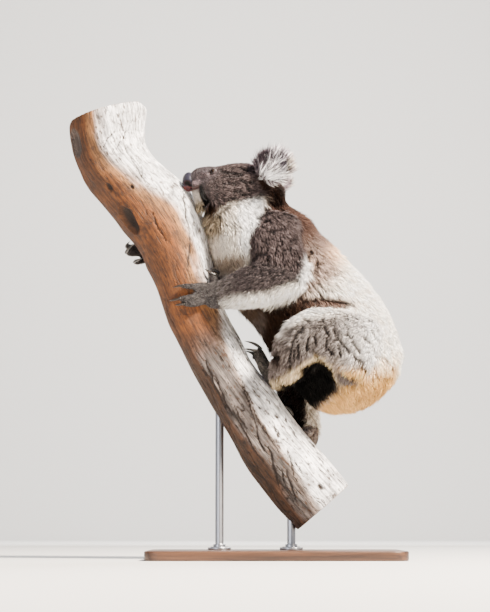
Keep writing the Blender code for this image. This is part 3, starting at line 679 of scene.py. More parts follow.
# The direction the coat lies in, from root to tip.
LIE = {
    "head": (1.0, 0.0, 0.05),
    "neck": (0.55, 0.0, -0.80),
    "chest": (0.45, 0.0, -0.90),
    "abdomen": (0.55, 0.0, -0.83),
    "rump": (0.30, 0.0, -0.95),
    "upper_arm_left": (0.35, 0.0, -0.95),
    "forearm_left": (-0.85, 0.0, -0.50),
    "hand_left": (-1.0, 0.0, 0.0),
    "thigh_left": (-0.75, 0.0, -0.65),
    "shank_left": (-0.35, 0.25, -0.90),
    "foot_left": (-0.55, 0.0, 0.80),
    "upper_arm_right": (0.10, 0.30, -0.95),
    "forearm_right": (-0.90, -0.10, -0.40),
    "hand_right": (-0.90, -0.40, 0.0),
    "thigh_right": (-0.80, 0.15, -0.55),
    "shank_right": (-0.10, -0.30, -0.95),
    "foot_right": (-0.50, 0.0, 0.85),
    "ear_left": (0.60, -0.30, 0.45),
    "ear_right": (0.60, 0.30, 0.45),
}
REGIONS = list(LIE)


def kind_of(region):
    return region.replace("_left", "").replace("_right", "")


def middle_of(node):
    low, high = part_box(node)
    return (low + high) / 2


def make_ear_flap(side, node):
    """A round flap of skin, dished on its open side, in the middle of the ear's solid."""
    flap = add_object("ear_flap", bpy.ops.mesh.primitive_uv_sphere_add, segments=40, ring_count=20, radius=1)
    edit_all(flap, bpy.ops.transform.resize, value=EAR_FLAP)
    points = points_of(flap)
    points[:, 1] += side * EAR_CUP * (points[:, 0] ** 2 + points[:, 2] ** 2)
    set_points(flap, points)
    flap.location = middle_of(node) + Vector((EAR_SET[0], -side * EAR_SET[1], EAR_SET[2]))
    flap.rotation_euler.z = side * EAR_TURN
    settle_place(flap)
    return flap


def make_ear_root(side, node):
    """The root of the ear, which joins its flap to the side of the head."""
    root = add_object("ear_root", bpy.ops.mesh.primitive_uv_sphere_add, segments=32, ring_count=16, radius=1)
    bpy.ops.transform.resize(value=EAR_ROOT)
    root.location = middle_of(node) + Vector((ROOT_SET[0], -side * ROOT_SET[1], ROOT_SET[2]))
    settle_place(root)
    return root


def fuse_flesh():
    """All the flesh solids as one skin, with the seams between them closed."""
    pieces = []
    for region in REGIONS:
        if not region.startswith("ear"):
            piece = copy_of_node(region, "flesh")
            apply_modifier(piece, "DISPLACE", strength=SEAM_OVERLAP, mid_level=0.0)
            pieces.append(piece)
    pieces += [make_ear_flap(side, node) for side, node in EARS]
    pieces += [make_ear_root(side, node) for side, node in EARS]
    only(*pieces)
    bpy.ops.object.join()
    skin = bpy.context.object
    skin.name = "skin"
    apply_modifier(skin, "REMESH", mode="VOXEL", voxel_size=SKIN_VOXEL)
    return skin


def nearest_regions(points):
    """The index in REGIONS of the flesh solid nearest to each point."""
    corners = []
    faces = []
    owners = []
    for index, region in enumerate(REGIONS):
        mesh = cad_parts[region].data
        base = len(corners)
        corners.extend(vertex.co[:] for vertex in mesh.vertices)
        for face in mesh.polygons:
            faces.append([base + corner for corner in face.vertices])
            owners.append(index)
    tree = BVHTree.FromPolygons(corners, faces)
    return np.array([owners[tree.find_nearest(point)[2]] for point in points.tolist()])


def unit(vectors):
    return vectors / np.maximum(np.linalg.norm(vectors, axis=-1, keepdims=True), 1e-9)


def within(points, centre, radii, soft=0.35):
    """1 inside an ellipsoid, falling smoothly to 0 outside it."""
    distance = np.linalg.norm((points - np.array(centre)) / np.array(radii), axis=1)
    return ramp(distance, 1 + soft, 1 - soft)


def flat(colour):
    return np.array(linear(colour))


def tint(colours, *layers):
    """Mix each layer's hex colour into the rows of colours, one after the other, by its amount at each."""
    for colour, amount in layers:
        colours = colours + (flat(colour) - colours) * np.clip(amount, 0, 1)[:, None]
    return colours


def on_both_sides(points, centre, radii, soft=0.35):
    """The same as within, for a patch on the left side of the head and its twin on the right."""
    x, y, z = centre
    left = within(points, (x, HEAD_MIDLINE - y, z), radii, soft)
    right = within(points, (x, HEAD_MIDLINE + y, z), radii, soft)
    return np.maximum(left, right)


def on_ear_flap(reach, side):
    """For points measured from the middle of the ear: 1 inside the flap's outline, 1 on the flap itself
    and 0 on the head behind and round it, and how far in front of the flap each point is."""
    offset = reach - np.array([EAR_SET[0], -side * EAR_SET[1], EAR_SET[2]])
    along = offset @ np.array([math.cos(EAR_TURN), side * math.sin(EAR_TURN), 0.0])
    off = side * (offset @ np.array([-side * math.sin(EAR_TURN), math.cos(EAR_TURN), 0.0]))
    dish = EAR_CUP * (along ** 2 + offset[:, 2] ** 2)
    outline = ramp(np.hypot(along / EAR_FLAP[0], offset[:, 2] / EAR_FLAP[2]), 1.14, 1.04)
    return outline, outline * ramp(off - dish, -EAR_FLAP[1] - 0.006, -EAR_FLAP[1] - 0.003), off - dish


def refine_face(skin):
    """Smaller faces round the eyes, the nose and the mouth, for their lids and folds."""
    eyes = [middle_of(node) for node in EYES]

    def by_an_eye(middle, reach):
        return min((middle - eye).length for eye in eyes) < reach

    def on_muzzle(middle):
        return middle.x < -0.125 and middle.z > 0.65

    for test in (lambda middle, normal: on_muzzle(middle) or by_an_eye(middle, 0.018),
                 lambda middle, normal: by_an_eye(middle, 0.014)):
        select_where(skin, test)
        bpy.ops.mesh.subdivide(number_cuts=1)
        bpy.ops.object.mode_set(mode="OBJECT")


def round_an_eye(points, node):
    """Where points lie as seen from the middle of an eye: distance, sight line, how far ahead, how far out
    of the opening between the lids (below 1 inside it, 9 behind the eye) and how far towards its corners."""
    centre = np.array(middle_of(node))
    side = np.sign(centre[1] - HEAD_MIDLINE)
    gaze = unit(np.array(GAZE) * (1, side, 1))
    across = unit(np.cross([0.0, 0.0, 1.0], gaze)) * side
    upward = np.cross(gaze, across) * side
    reach = points - centre
    distance = np.linalg.norm(reach, axis=1)
    sight = reach / np.maximum(distance, 1e-9)[:, None]
    ahead = sight @ gaze
    turned = np.arctan2(sight @ across, np.maximum(ahead, 0.05))
    raised = np.arctan2(sight @ upward, np.maximum(ahead, 0.05))
    along = (turned * math.cos(LID_TILT) - raised * math.sin(LID_TILT)) / LID_OPENING[0]
    over = (turned * math.sin(LID_TILT) + raised * math.cos(LID_TILT)) / LID_OPENING[1]
    opening = np.hypot(along, over / (1 - 0.30 * np.clip(along, -1, 1) ** 2))
    return distance, sight, ahead, np.where(ahead > 0, opening, 9.0), along


def off_line(points, line):
    """Distance of each point from a line of corners, as seen from the side."""
    nearest = np.full(len(points), 1.0)
    flat_points = points[:, [0, 2]]
    for first, second in zip(line, line[1:]):
        span = np.array(second) - first
        share = np.clip((flat_points - first) @ span / (span @ span), 0, 1)
        nearest = np.minimum(nearest, np.linalg.norm(flat_points - first - share[:, None] * span, axis=1))
    return nearest


def shape_of_head(points, facing):
    """Lids round each eye, the fold of the mouth, and the muzzle drawn in behind the nose pad."""
    pinch = 1 - 0.12 * ramp(points[:, 0], -0.148, -0.160) * (points[:, 2] > 0.655)
    middle = np.array([0.0, HEAD_MIDLINE, 0.711])
    points = middle + (points - middle) * np.stack([np.ones(len(points)), pinch, pinch], axis=1)
    on_side = ramp(np.abs(points[:, 1] - HEAD_MIDLINE), 0.002, 0.008) * (points[:, 2] > 0.650)
    groove = np.exp(-(off_line(points, MOUTH) / 0.0019) ** 2) * on_side
    points = points - facing * (MOUTH_DEPTH * groove)[:, None]
    for node in EYES:
        radius = (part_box(node)[1].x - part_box(node)[0].x) / 2
        distance, sight, ahead, opening, _ = round_an_eye(points, node)
        inside = ramp(opening, 1.04, 0.94)
        near = ramp(distance, radius * 2.6, radius * 1.25) * ramp(ahead, 0.0, 0.35)
        wanted = (radius + LID_THICKNESS + LID_ROLL * np.exp(-((opening - 1.3) / 0.25) ** 2)
                  - LID_ROLL * np.exp(-((opening - 2.4) / 0.40) ** 2))
        wanted = wanted * (1 - inside) + (radius - SOCKET_BACK) * inside
        points = points + sight * ((wanted - distance) * near)[:, None]
    return points


# The lower edge of the left thigh and shank, seen from the side: X, Z.
THIGH_EDGE = [(0.00, 0.326), (0.02, 0.333), (0.04, 0.348), (0.058, 0.361), (0.081, 0.370), (0.096, 0.363),
              (0.107, 0.349), (0.118, 0.320)]


def colour_of_coat(points, facing, regions):
    """The coat's markings, with painted light and shade, as linear colours from each point's region and body
    patches.
    """
    colours = np.array([flat(COAT[kind_of(region)][7]) for region in REGIONS])[regions]
    x, y, z = points.T
    names = np.array(REGIONS)[regions]
    kinds = np.array([kind_of(region) for region in REGIONS])[regions]
    torso = np.isin(kinds, ["neck", "chest", "abdomen", "rump"])
    down_back = x * 0.62 - z * 0.78 + 0.45
    # the side of the back turned to the light, from brown at the shoulders through tan to cream on the rump
    upper = torso * ramp(facing @ np.array([0.70, 0.0, 0.55]), -0.35, 0.05)
    colours = tint(
        colours,
        ("#4b3831", upper),
        ("#6c5951", upper * ramp(down_back, -0.015, 0.030)),
        # the tan and cream are partly the coat's own pale colour and partly painted light
        ("#ecc7a8", upper * ramp(down_back, 0.030, 0.070)),
        ("#fff4e8", upper * ramp(down_back, 0.066, 0.112)),
    )
    # flanks, greyer and darker than the back, and the belly, painted dark as shade
    flank = torso * (names != "rump") * ramp(np.abs(facing[:, 1]), 0.45, 0.90) * ramp(down_back, 0.0, 0.04)
    colours = tint(
        colours,
        ("#95837a", flank * ramp(down_back, 0.130, 0.080)),
        # a painted shadow in the fold between the flank and the thigh
        ("#614e46", flank * within(points, (0.080, -0.085, 0.478), (0.060, 0.060, 0.014))),
    )
    below = (kinds == "abdomen") * ramp(facing @ np.array([-0.85, 0.0, -0.5]), -0.15, 0.35)
    colours = tint(
        colours,
        # painted shade on the underside of the belly, which faces away from the light
        ("#241811", below),
        ("#231710", (kinds == "abdomen") * within(points, (0.01, -0.06, 0.455), (0.065, 0.10, 0.032))),
        ("#483f3a", below * within(points, (-0.040, -0.03, 0.450), (0.022, 0.06, 0.030))),
    )
    # chest and throat
    front = np.isin(kinds, ["chest", "neck"])
    colours = tint(
        colours,
        ("#cdc3b7", (kinds == "neck") * ramp(x, -0.012, -0.032)),
        # painted shade on the lowest part of the chest, beside the belly
        ("#40342c", (kinds == "chest") * ramp(z, 0.500, 0.485)),
    )
    for side in (-1, 1):
        middle = HEAD_MIDLINE + side * 0.055
        colours = tint(
            colours,
            ("#ffffff", front * within(points, (-0.050, middle, 0.628), (0.028, 0.055, 0.050))),
            ("#ffffff", front * within(points, (-0.043, middle, 0.662), (0.020, 0.050, 0.022))),
        )
    colours = tint(
        colours,
        ("#ccc5bb", front * within(points, (-0.085, -0.045, 0.610), (0.022, 0.070, 0.035))),
        ("#837664", front * within(points, (-0.116, -0.045, 0.635), (0.022, 0.055, 0.022))),
        ("#8a7c6f", front * within(points, (-0.090, -0.050, 0.560), (0.040, 0.070, 0.018))),
    )
    # a painted shadow under the chin
    jaw = ramp(x, -0.104, -0.112) * ramp(z, 0.6670, 0.6635) * ramp(z, 0.645, 0.650)
    colours = tint(colours, ("#24180f", np.isin(kinds, ["head", "neck", "chest"]) * jaw))
    # nape and shoulders painted darker as shade, darkest as a painted shadow under the ear
    neck = np.isin(kinds, ["neck", "head", "chest", "abdomen"])
    colours = tint(
        colours,
        ("#45332c", neck * within(points, (0.005, -0.040, 0.650), (0.032, 0.080, 0.024))),
    )
    for side in (-1, 1):
        place = (0.002, HEAD_MIDLINE + side * 0.055, 0.684)
        colours = tint(colours, ("#140b07", neck * within(points, place, (0.029, 0.060, 0.026))))
        place = (-0.024, HEAD_MIDLINE + side * 0.060, 0.656)
        colours = tint(colours, ("#c9c4c0", front * within(points, place, (0.009, 0.030, 0.008))))
    # rump: white behind, cream and then orange beneath
    behind = np.isin(kinds, ["rump", "thigh"])
    low = z + 0.014 * noise(points, 0.030, 41)
    colours = tint(
        colours,
        ("#d8a862", behind * ramp(low, 0.386, 0.336) * ramp(x, 0.100, 0.140)),
        ("#87531b", behind * ramp(low, 0.342, 0.302) * ramp(x, 0.09, 0.13)),
    )
    # thighs: grey with a painted highlight on top, cream along the lower edge and paler towards the rump
    thigh = kinds == "thigh"
    colours = tint(
        colours,
        ("#fdf3e8", thigh * ramp(facing[:, 2], 0.35, 0.75)),
        ("#bdb8b5", thigh * ramp(x, 0.105, 0.150) * ramp(z, 0.350, 0.375)),
        ("#f4f1ee", thigh * ramp(x, 0.150, 0.180) * ramp(z, 0.350, 0.375)),
    )
    edge = z - np.interp(x, *zip(*THIGH_EDGE))
    near_leg = np.isin(names, ["thigh_left", "shank_left"]) * ramp(x, 0.135, 0.115)
    colours = tint(
        colours,
        ("#c9b491", near_leg * ramp(edge, 0.019, 0.009)),
        ("#2e2623", within(points, (0.004, -0.110, 0.374), (0.009, 0.040, 0.013))),
    )
    # painted shadow: black between the legs, under the near thigh's edge and on the inner side of both
    inner = np.maximum(ramp(y, -0.095, -0.075), kinds == "rump")
    near_side_in_shade = ramp(facing[:, 1], 0.35, 0.0)
    groin_shadow = within(np.stack([x, z], axis=1), (0.064, 0.318), (0.056, 0.052), 0.22) * ramp(y, 0.060, 0.035)
    underside = (x - 0.097) * 0.585 - (z - 0.315) * 0.811
    below_line = ramp(underside, -0.001, 0.004)
    groin_shadow = groin_shadow * (1 - below_line)
    colours = tint(
        colours,
        ("#060403", groin_shadow * inner),
        ("#060403", near_leg * ramp(edge, 0.005, 0.000) * ramp(x, 0.042, 0.052) * (1 - below_line)),
        ("#060403", (names == "thigh_right") * ramp(x, 0.120, 0.100) * near_side_in_shade * (1 - below_line)),
    )
    cream = np.isin(names, ["rump", "thigh_right", "thigh_left"]) * below_line * ramp(z, 0.356, 0.324)
    colours = tint(colours, ("#c69a5e", cream * ramp(x, 0.05, 0.07)))
    right_shank = names == "shank_right"
    colours = tint(
        colours,
        # painted shadow on the inner side of the far shank
        ("#140c0a", right_shank * ramp(x, 0.064, 0.056) * near_side_in_shade),
        ("#8a7d75", (names == "foot_right") * ramp(x, 0.035, 0.055)),
        ("#e6d8c6", right_shank * ramp(x, 0.058, 0.066)),
    )
    # arms: a white fringe behind the elbow and along the underside
    arm = np.isin(kinds, ["forearm", "upper_arm"])
    colours = tint(colours, ("#fbf5ea", arm * ramp(-facing[:, 2], 0.20, 0.60) * ramp(x, -0.13, -0.05)))
    elbow = within(points, (0.060, -0.090, 0.522), (0.018, 0.045, 0.046))
    colours = tint(
        colours,
        ("#ffffff", arm * elbow),
        ("#6e6866", (names == "forearm_left") * ramp(x, -0.060, -0.110) * ramp(facing[:, 2], -0.5, 0.1)),
        # painted shadow on the inner side of the far upper arm
        ("#2a1f1b", (names == "upper_arm_right") * near_side_in_shade),
    )
    # head: lilac-grey muzzle, pale chin, dark mouth, dark fur in front of the ears
    head = kinds == "head"
    colours = tint(
        colours,
        ("#453e41", head * within(points, (-0.135, HEAD_MIDLINE, 0.722), (0.032, 0.05, 0.022))),
        ("#342c2c", head * ramp(z, 0.732, 0.742) * ramp(x, -0.125, -0.105)),
        # painted shadow on each side of the muzzle, between the nose and the cheek
        ("#3a3133", head * on_both_sides(points, (-0.140, 0.030, 0.7185), (0.014, 0.018, 0.0060))),
        ("#7d6a6e", head * on_both_sides(points, (-0.151, 0.022, 0.7070), (0.008, 0.014, 0.0050))),
        ("#393236", neck * on_both_sides(points, (-0.044, 0.050, 0.738), (0.016, 0.045, 0.020))),
    )
    chin = within(points, (-0.147, HEAD_MIDLINE, 0.676), (0.020, 0.034, 0.022)) * ramp(z, 0.6985, 0.694)
    colours = tint(
        colours,
        ("#b3aba2", head * chin),
        ("#988a74", head * chin * ramp(z, 0.680, 0.668)),
    )
    mouth = off_line(points, MOUTH)
    lip = ramp(mouth, 0.0040, 0.0020) * ramp(x, -0.138, -0.143)
    colours = tint(
        colours,
        ("#5f4644", head * lip),
        ("#3a1c1a", head * ramp(mouth, 0.0018, 0.0008) * ramp(x, -0.141, -0.144)),
        # painted shadow in the groove of the mouth behind its corner, near black
        ("#050303", head * ramp(mouth, 0.0062, 0.0042) * ramp(x, -0.146, -0.142)),
    )
    for node in EYES:
        distance, _, _, opening, along = round_an_eye(points, node)
        near = ramp(distance, 0.0150, 0.0115)
        colours = tint(
            colours,
            ("#514749", near * ramp(opening, 3.4, 2.2)),
            ("#1a1010", near * ramp(opening, 1.65, 1.30)),
            ("#9c8a8b", near * ramp(opening, 1.9, 1.4) * ramp(np.abs(along), 1.0, 1.2)),
        )
    # ears: a dark front edge, grey behind and white inside, and painted shadow on the head round their foot
    for side, name in EARS:
        ear = names == name
        inward = facing @ np.array([-math.sin(EAR_TURN), side * math.cos(EAR_TURN), 0.0])
        colours = tint(
            colours,
            ("#6c6264", ear * ramp(inward, 0.2, -0.4)),
            ("#d5d1d2", ear * ramp(inward, -0.1, 0.4)),
        )
        front_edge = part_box(name)[0].x
        colours = tint(colours, ("#4d4549", ear * ramp(x, front_edge + 0.034, front_edge + 0.022)))
        # painted shadow on the head round the foot of the ear, outside the flap
        outline = on_ear_flap(points - np.array(middle_of(name)), side)[0]
        colours = tint(colours, ("#2a1f1b", ear * (1 - outline)))
    return colours


def make_skin():
    skin = fuse_flesh()
    refine_face(skin)
    points = points_of(skin)
    edges = edges_of(skin)
    regions = nearest_regions(points)
    kinds = [kind_of(region) for region in REGIONS]
    depth = np.array([COAT[kind][0] for kind in kinds])[regions] * 0.001
    paw = np.array([kind in ("hand", "foot", "ear") for kind in kinds])[regions].astype(float)
    paw = blurred(paw[:, None], edges, 6)[:, 0]
    points = blurred(points, edges, BODY_SMOOTHING, np.clip(1 - paw, 0, 1))
    muzzle = ramp(points[:, 0], -0.095, -0.135) * (points[:, 2] > 0.655)
    depth = depth * (1 - 0.62 * muzzle)
    throat = within(points, (-0.118, -0.040, 0.635), (0.026, 0.070, 0.030))
    depth = depth * (1 - 0.50 * throat)
    belly = within(points, (-0.070, -0.01, 0.485), (0.035, 0.09, 0.030))
    depth = depth + 0.003 * belly
    depth = blurred(depth[:, None], edges, DEPTH_SMOOTHING)[:, 0]
    set_points(skin, points)
    points = points - normals_of(skin) * depth[:, None]
    points = blurred(points, edges, 3, np.clip(1 - paw, 0, 1))
    set_points(skin, points)
    points = shape_of_head(points, normals_of(skin))
    set_points(skin, points)
    facing = normals_of(skin)
    colours = colour_of_coat(points, facing, regions)
    face = ramp(points[:, 0], -0.095, -0.110) * (points[:, 2] > 0.65)
    colours = np.clip(blurred(colours, edges, 3, 1 - 0.85 * face), 0.002, 1)
    lie = np.array([LIE[region] for region in REGIONS])[regions]
    crown = (np.array(REGIONS)[regions] == "head") * ramp(facing[:, 0], 0.25, 0.65)
    lie = lie + crown[:, None] * (np.array([0.2, 0.0, -1.0]) - lie)
    lie = blurred(lie, edges, LIE_SMOOTHING)
    traits = np.array([COAT[kind][1:7] for kind in kinds])[regions]
    traits = blurred(traits, edges, TRAIT_SMOOTHING)
    skin.data.shade_smooth()
    return skin, points, facing, regions, colours, lie, traits


def set_coat_colour(piece, colours):
    set_attribute(piece, "coat_colour", np.column_stack([colours, np.ones(len(colours))]))


def coat_material(name, scale, detail, darkest, palest):
    """A material in the coat's own colour, which a fine grain takes between two shades of it."""
    material, shader = new_material(name)
    coat = add_node(material, "Attribute", out="Color", attribute_name="coat_colour")
    place = add_node(material, "TexCoord", out="Object")
    grain = add_node(material, "TexNoise", Vector=place, Scale=scale, Detail=detail)
    shade = add_node(material, "MapRange", Value=grain, From_Min=0.3, From_Max=0.7, To_Min=darkest,
                     To_Max=palest)
    colour = add_node(material, "Mix", out=2, data_type="RGBA", blend_type="MULTIPLY", n0=1.0, n6=coat,
                      n7=shade)
    link(material, colour, shader.inputs["Base Color"])
    return material, shader, grain


def hide_under_coat():
    """The skin and underfur: dull and dark, since little light gets down between the tufts."""
    material, shader, grain = coat_material("underfur_and_skin", 900, 3, 0.40, 0.80)
    shader.inputs["Roughness"].default_value = 0.75
    bump = add_node(material, "Bump", Height=grain, Strength=0.4, Distance=0.0005)
    link(material, bump, shader.inputs["Normal"])
    return material


skin, skin_points, skin_facing, skin_regions, skin_colours, skin_lie, skin_traits = make_skin()
set_coat_colour(skin, skin_colours)
skin.data.materials.clear()
skin.data.materials.append(hide_under_coat())
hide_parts(*REGIONS)
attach(skin, "root")


# ---------------------------------------------------------------- eyes
# Glass eyes set deep under the lids: brown, with an upright slit of a pupil and a clear wet cornea.

IRIS_ANGLE = 0.74             # half-angle of the iris seen from the eye's centre, in radians
CORNEA_BULGE = 0.0007
IRIS_LIGHT = "#2a160c"
IRIS_DARK = "#0d0604"
IRIS_RIM = "#160a06"
PUPIL = "#020202"
EYE_SURROUND = "#1c1210"      # what shows beyond the iris is dark too


def make_eye(node):
    low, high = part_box(node)
    centre = (low + high) / 2
    radius = (high.x - low.x) / 2
    side = 1 if centre.y > HEAD_MIDLINE else -1
    gaze = unit(np.array(GAZE) * (1, side, 1))
    eye = add_object("glass_" + node, bpy.ops.mesh.primitive_uv_sphere_add, segments=64, ring_count=40,
                     radius=radius, location=centre)
    settle_place(eye)
    points = points_of(eye)
    sight = unit(points - np.array(centre))
    across = unit(np.cross([0.0, 0.0, 1.0], gaze))
    upward = np.cross(gaze, across)
    bulge = ramp(sight @ gaze, math.cos(IRIS_ANGLE), 1.0) * CORNEA_BULGE
    set_points(eye, points + sight * (bulge - CORNEA_BULGE)[:, None])
    seen = np.stack([sight @ across, sight @ upward, sight @ gaze], axis=1)
    set_attribute(eye, "gaze", seen)
    eye.data.shade_smooth()
    eye.data.materials.append(glass_eye())
    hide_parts(node)
    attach(eye, "root")


def glass_eye():
    """Painted glass: dark colours on a smooth front with a low shine."""
    material, shader = new_material("painted_glass_eye")
    gaze = add_node(material, "Attribute", out="Vector", attribute_name="gaze")
    parts = add_node(material, "SeparateXYZ", out=None, Vector=gaze)
    flattened = add_node(material, "Mapping", Vector=gaze, Scale=(1, 1, 0))
    out = add_node(material, "VectorMath", out="Value", operation="LENGTH", n0=flattened)
    slit = add_node(material, "Mapping", Vector=gaze, Scale=(2.4, 1.15, 0))
    slit = add_node(material, "VectorMath", out="Value", operation="LENGTH", n0=slit)
    threads = add_node(material, "TexNoise", Vector=gaze, Scale=22, Detail=4)
    iris_edge = math.sin(IRIS_ANGLE)
    colour = IRIS_DARK
    for value, start, end, band in (
        (threads, 0.35, 0.65, IRIS_LIGHT),
        (out, iris_edge * 0.78, iris_edge * 0.98, IRIS_RIM),
        (out, iris_edge * 0.99, iris_edge * 1.06, EYE_SURROUND),
        (slit, 0.62, 0.52, PUPIL),
        (parts["Z"], 0.1, -0.1, EYE_SURROUND),
    ):
        share = add_node(material, "MapRange", Value=value, From_Min=start, From_Max=end)
        colour = add_node(material, "Mix", out=2, data_type="RGBA", n0=share, n6=colour, n7=band)
    link(material, colour, shader.inputs["Base Color"])
    shader.inputs["Roughness"].default_value = 0.16
    shader.inputs["Specular IOR Level"].default_value = 0.16
    return material


for node in EYES:
    make_eye(node)


# ---------------------------------------------------------------- nose
# The bare leathery pad: nearly black and pebbled on top, reddish brown round the comma-shaped nostrils.

NOSTRIL = (-0.1660, 0.0125, 0.7075)       # X, distance from the midline, Z
NOSTRIL_SIZE = (0.0066, 0.0064, 0.0050)
NOSTRIL_DEPTH = 0.0034
NOSE_BLACK = "#26252f"
NOSE_RED = "#4a2624"
NOSTRIL_DARK = "#070404"


def make_nose():
    low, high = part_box("nose")
    centre = (low + high) / 2
    nose = add_object("nose_pad", bpy.ops.mesh.primitive_uv_sphere_add, segments=96, ring_count=64, radius=1,
                      location=centre)
    nose.scale = (high - low) / 2
    settle_place(nose)
    points = points_of(nose)
    middle = np.array(centre)
    reach = points - middle
    reach[:, 2] = np.where(reach[:, 2] < 0, reach[:, 2] * 0.78, reach[:, 2])
    height = reach[:, 2] / (high.z - low.z) * 2
    # broad and square above, narrowing to the lip, with a flat front
    reach[:, 1] *= 0.92 + 0.08 * height - 0.10 * height ** 2
    reach[:, 0] = np.where(reach[:, 0] < -0.0105, -0.0105 + (reach[:, 0] + 0.0105) * 0.75, reach[:, 0])
    points = middle + reach
    facing = unit(reach / np.array((high - low) / 2) ** 2)
    hole = on_both_sides(points, NOSTRIL, NOSTRIL_SIZE, 0.55)
    slot = on_both_sides(points, (NOSTRIL[0] + 0.005, NOSTRIL[1] + 0.0030, NOSTRIL[2] - 0.0045),
                         (0.0060, 0.0060, 0.0020), 0.6)
    cleft = np.exp(-((points[:, 1] - HEAD_MIDLINE) / 0.0010) ** 2) * ramp(points[:, 2], 0.700, 0.694)
    sunk = NOSTRIL_DEPTH * hole + 0.0022 * slot + 0.0010 * cleft
    set_points(nose, points - facing * sunk[:, None])
    red = 0.9 * ramp(points[:, 2], 0.7050, 0.6990)
    red = np.maximum(red, 0.7 * on_both_sides(points, NOSTRIL, (0.0080, 0.009, 0.0060), 0.3))
    set_attribute(nose, "red", np.clip(red, 0, 1))
    set_attribute(nose, "hole", np.clip(hole * 1.5 + slot * 0.9 + cleft * 0.6, 0, 1))
    nose.data.shade_smooth()
    nose.data.materials.append(nose_leather())
    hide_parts("nose")
    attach(nose, "root")


def nose_leather():
    """Bare pebbled skin, kept moist, so it has a soft broken shine."""
    material, shader = new_material("moist_pebbled_skin")
    place = add_node(material, "TexCoord", out="Object")
    red = add_node(material, "Attribute", out="Fac", attribute_name="red")
    hole = add_node(material, "Attribute", out="Fac", attribute_name="hole")
    pebbles = add_node(material, "TexVoronoi", out="Distance", feature="SMOOTH_F1", Vector=place, Scale=900)
    blotch = add_node(material, "TexNoise", Vector=place, Scale=160, Detail=3)
    share = add_node(material, "Math", operation="MULTIPLY", n0=red, n1=blotch)
    share = add_node(material, "MapRange", Value=share, From_Min=0.10, From_Max=0.48)
    colour = add_node(material, "Mix", out=2, data_type="RGBA", n0=share, n6=NOSE_BLACK, n7=NOSE_RED)
    colour = add_node(material, "Mix", out=2, data_type="RGBA", n0=hole, n6=colour, n7=NOSTRIL_DARK)
    link(material, colour, shader.inputs["Base Color"])
    shader.inputs["Roughness"].default_value = 0.45
    shader.inputs["Specular IOR Level"].default_value = 0.10
    bump = add_node(material, "Bump", Height=pebbles, Strength=0.5, Distance=0.0004)
    link(material, bump, shader.inputs["Normal"])
    return material


make_nose()


# ---------------------------------------------------------------- claws
# Long curved horn, nearly black, flattened from side to side and rooted inside the last joint of each digit.

CLAW_RINGS = 14
CLAW_SIDES = 14
CLAW_ROOT = 0.0034            # half-depth of a claw where it leaves the digit
CLAW_FLATNESS = 0.72
CLAW_SUNK = 0.006             # how far its root goes into the digit
CLAW_REACH = 0.009            # how far either side of its middle the digit is looked for
HORN_DARK = "#171310"
HORN_LIGHT = "#4a4036"


def make_claw(node, horn, skin_tree):
    points = points_of(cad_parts[node])
    middle = points.mean(axis=0)
    main = np.linalg.svd(points - middle)[2][0]
    near = [skin_tree.find_nearest(Vector(middle + main * sign * CLAW_REACH))[3] for sign in (-1, 1)]
    if near[0] > near[1]:
        main = -main
    share = (points - middle) @ main
    root = points[share < np.quantile(share, 0.18)].mean(axis=0)
    body = points[(share > np.quantile(share, 0.35)) & (share < np.quantile(share, 0.75))].mean(axis=0)
    tip = points[share > np.quantile(share, 0.93)].mean(axis=0)
    bow = body - (root + tip) / 2
    bow -= main * (bow @ main)
    along = unit(tip - root)
    up = unit(bow - along * (bow @ along) + 1e-6)
    length = np.linalg.norm(tip - root) + CLAW_SUNK
    start = root - along * CLAW_SUNK - up * 0.0006
    rows = []
    for ring in range(CLAW_RINGS + 1):
        travelled = ring / CLAW_RINGS
        arch = math.sin(math.pi * travelled ** 0.85) * (np.linalg.norm(bow) * 0.8 + 0.0015)
        centre = start + along * (length * travelled) + up * arch
        width = CLAW_ROOT * max(1 - travelled ** 2.2, 0.03) * (0.75 + 0.25 * math.sin(math.pi * travelled))
        rows.append((centre, width))
    across = np.cross(along, up)
    vertices = []
    for index, (centre, width) in enumerate(rows):
        before = rows[max(index - 1, 0)][0]
        after = rows[min(index + 1, CLAW_RINGS)][0]
        ahead = unit(after - before)
        rise = np.cross(across, ahead)
        for side in range(CLAW_SIDES):
            angle = 2 * math.pi * side / CLAW_SIDES
            vertices.append(centre + across * (math.cos(angle) * width * CLAW_FLATNESS)
                            + rise * (math.sin(angle) * width))
    faces = []
    for ring in range(CLAW_RINGS):
        for side in range(CLAW_SIDES):
            beside = (side + 1) % CLAW_SIDES
            base = ring * CLAW_SIDES
            faces.append((base + side, base + beside, base + CLAW_SIDES + beside, base + CLAW_SIDES + side))
    faces.append(tuple(reversed(range(CLAW_SIDES))))
    faces.append(tuple(range(CLAW_RINGS * CLAW_SIDES, (CLAW_RINGS + 1) * CLAW_SIDES)))
    mesh = bpy.data.meshes.new(node)
    mesh.from_pydata(vertices, [], faces)
    mesh.shade_smooth()
    claw = bpy.data.objects.new("horn_" + node, mesh)
    bpy.context.scene.collection.objects.link(claw)
    edit_all(claw, bpy.ops.mesh.normals_make_consistent, inside=False)
    claw.data.materials.append(horn)
    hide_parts(node)
    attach(claw, "root")


def claw_horn():
    """Smooth keratin with a low polish and faint lighter mottling."""
    material, shader = new_material("polished_keratin")
    place = add_node(material, "TexCoord", out="Object")
    streaks = add_node(material, "TexNoise", Vector=place, Scale=420, Detail=3)
    share = add_node(material, "MapRange", Value=streaks, From_Min=0.45, From_Max=0.8)
    colour = add_node(material, "Mix", out=2, data_type="RGBA", n0=share, n6=HORN_DARK, n7=HORN_LIGHT)
    link(material, colour, shader.inputs["Base Color"])
    shader.inputs["Roughness"].default_value = 0.3
    return material


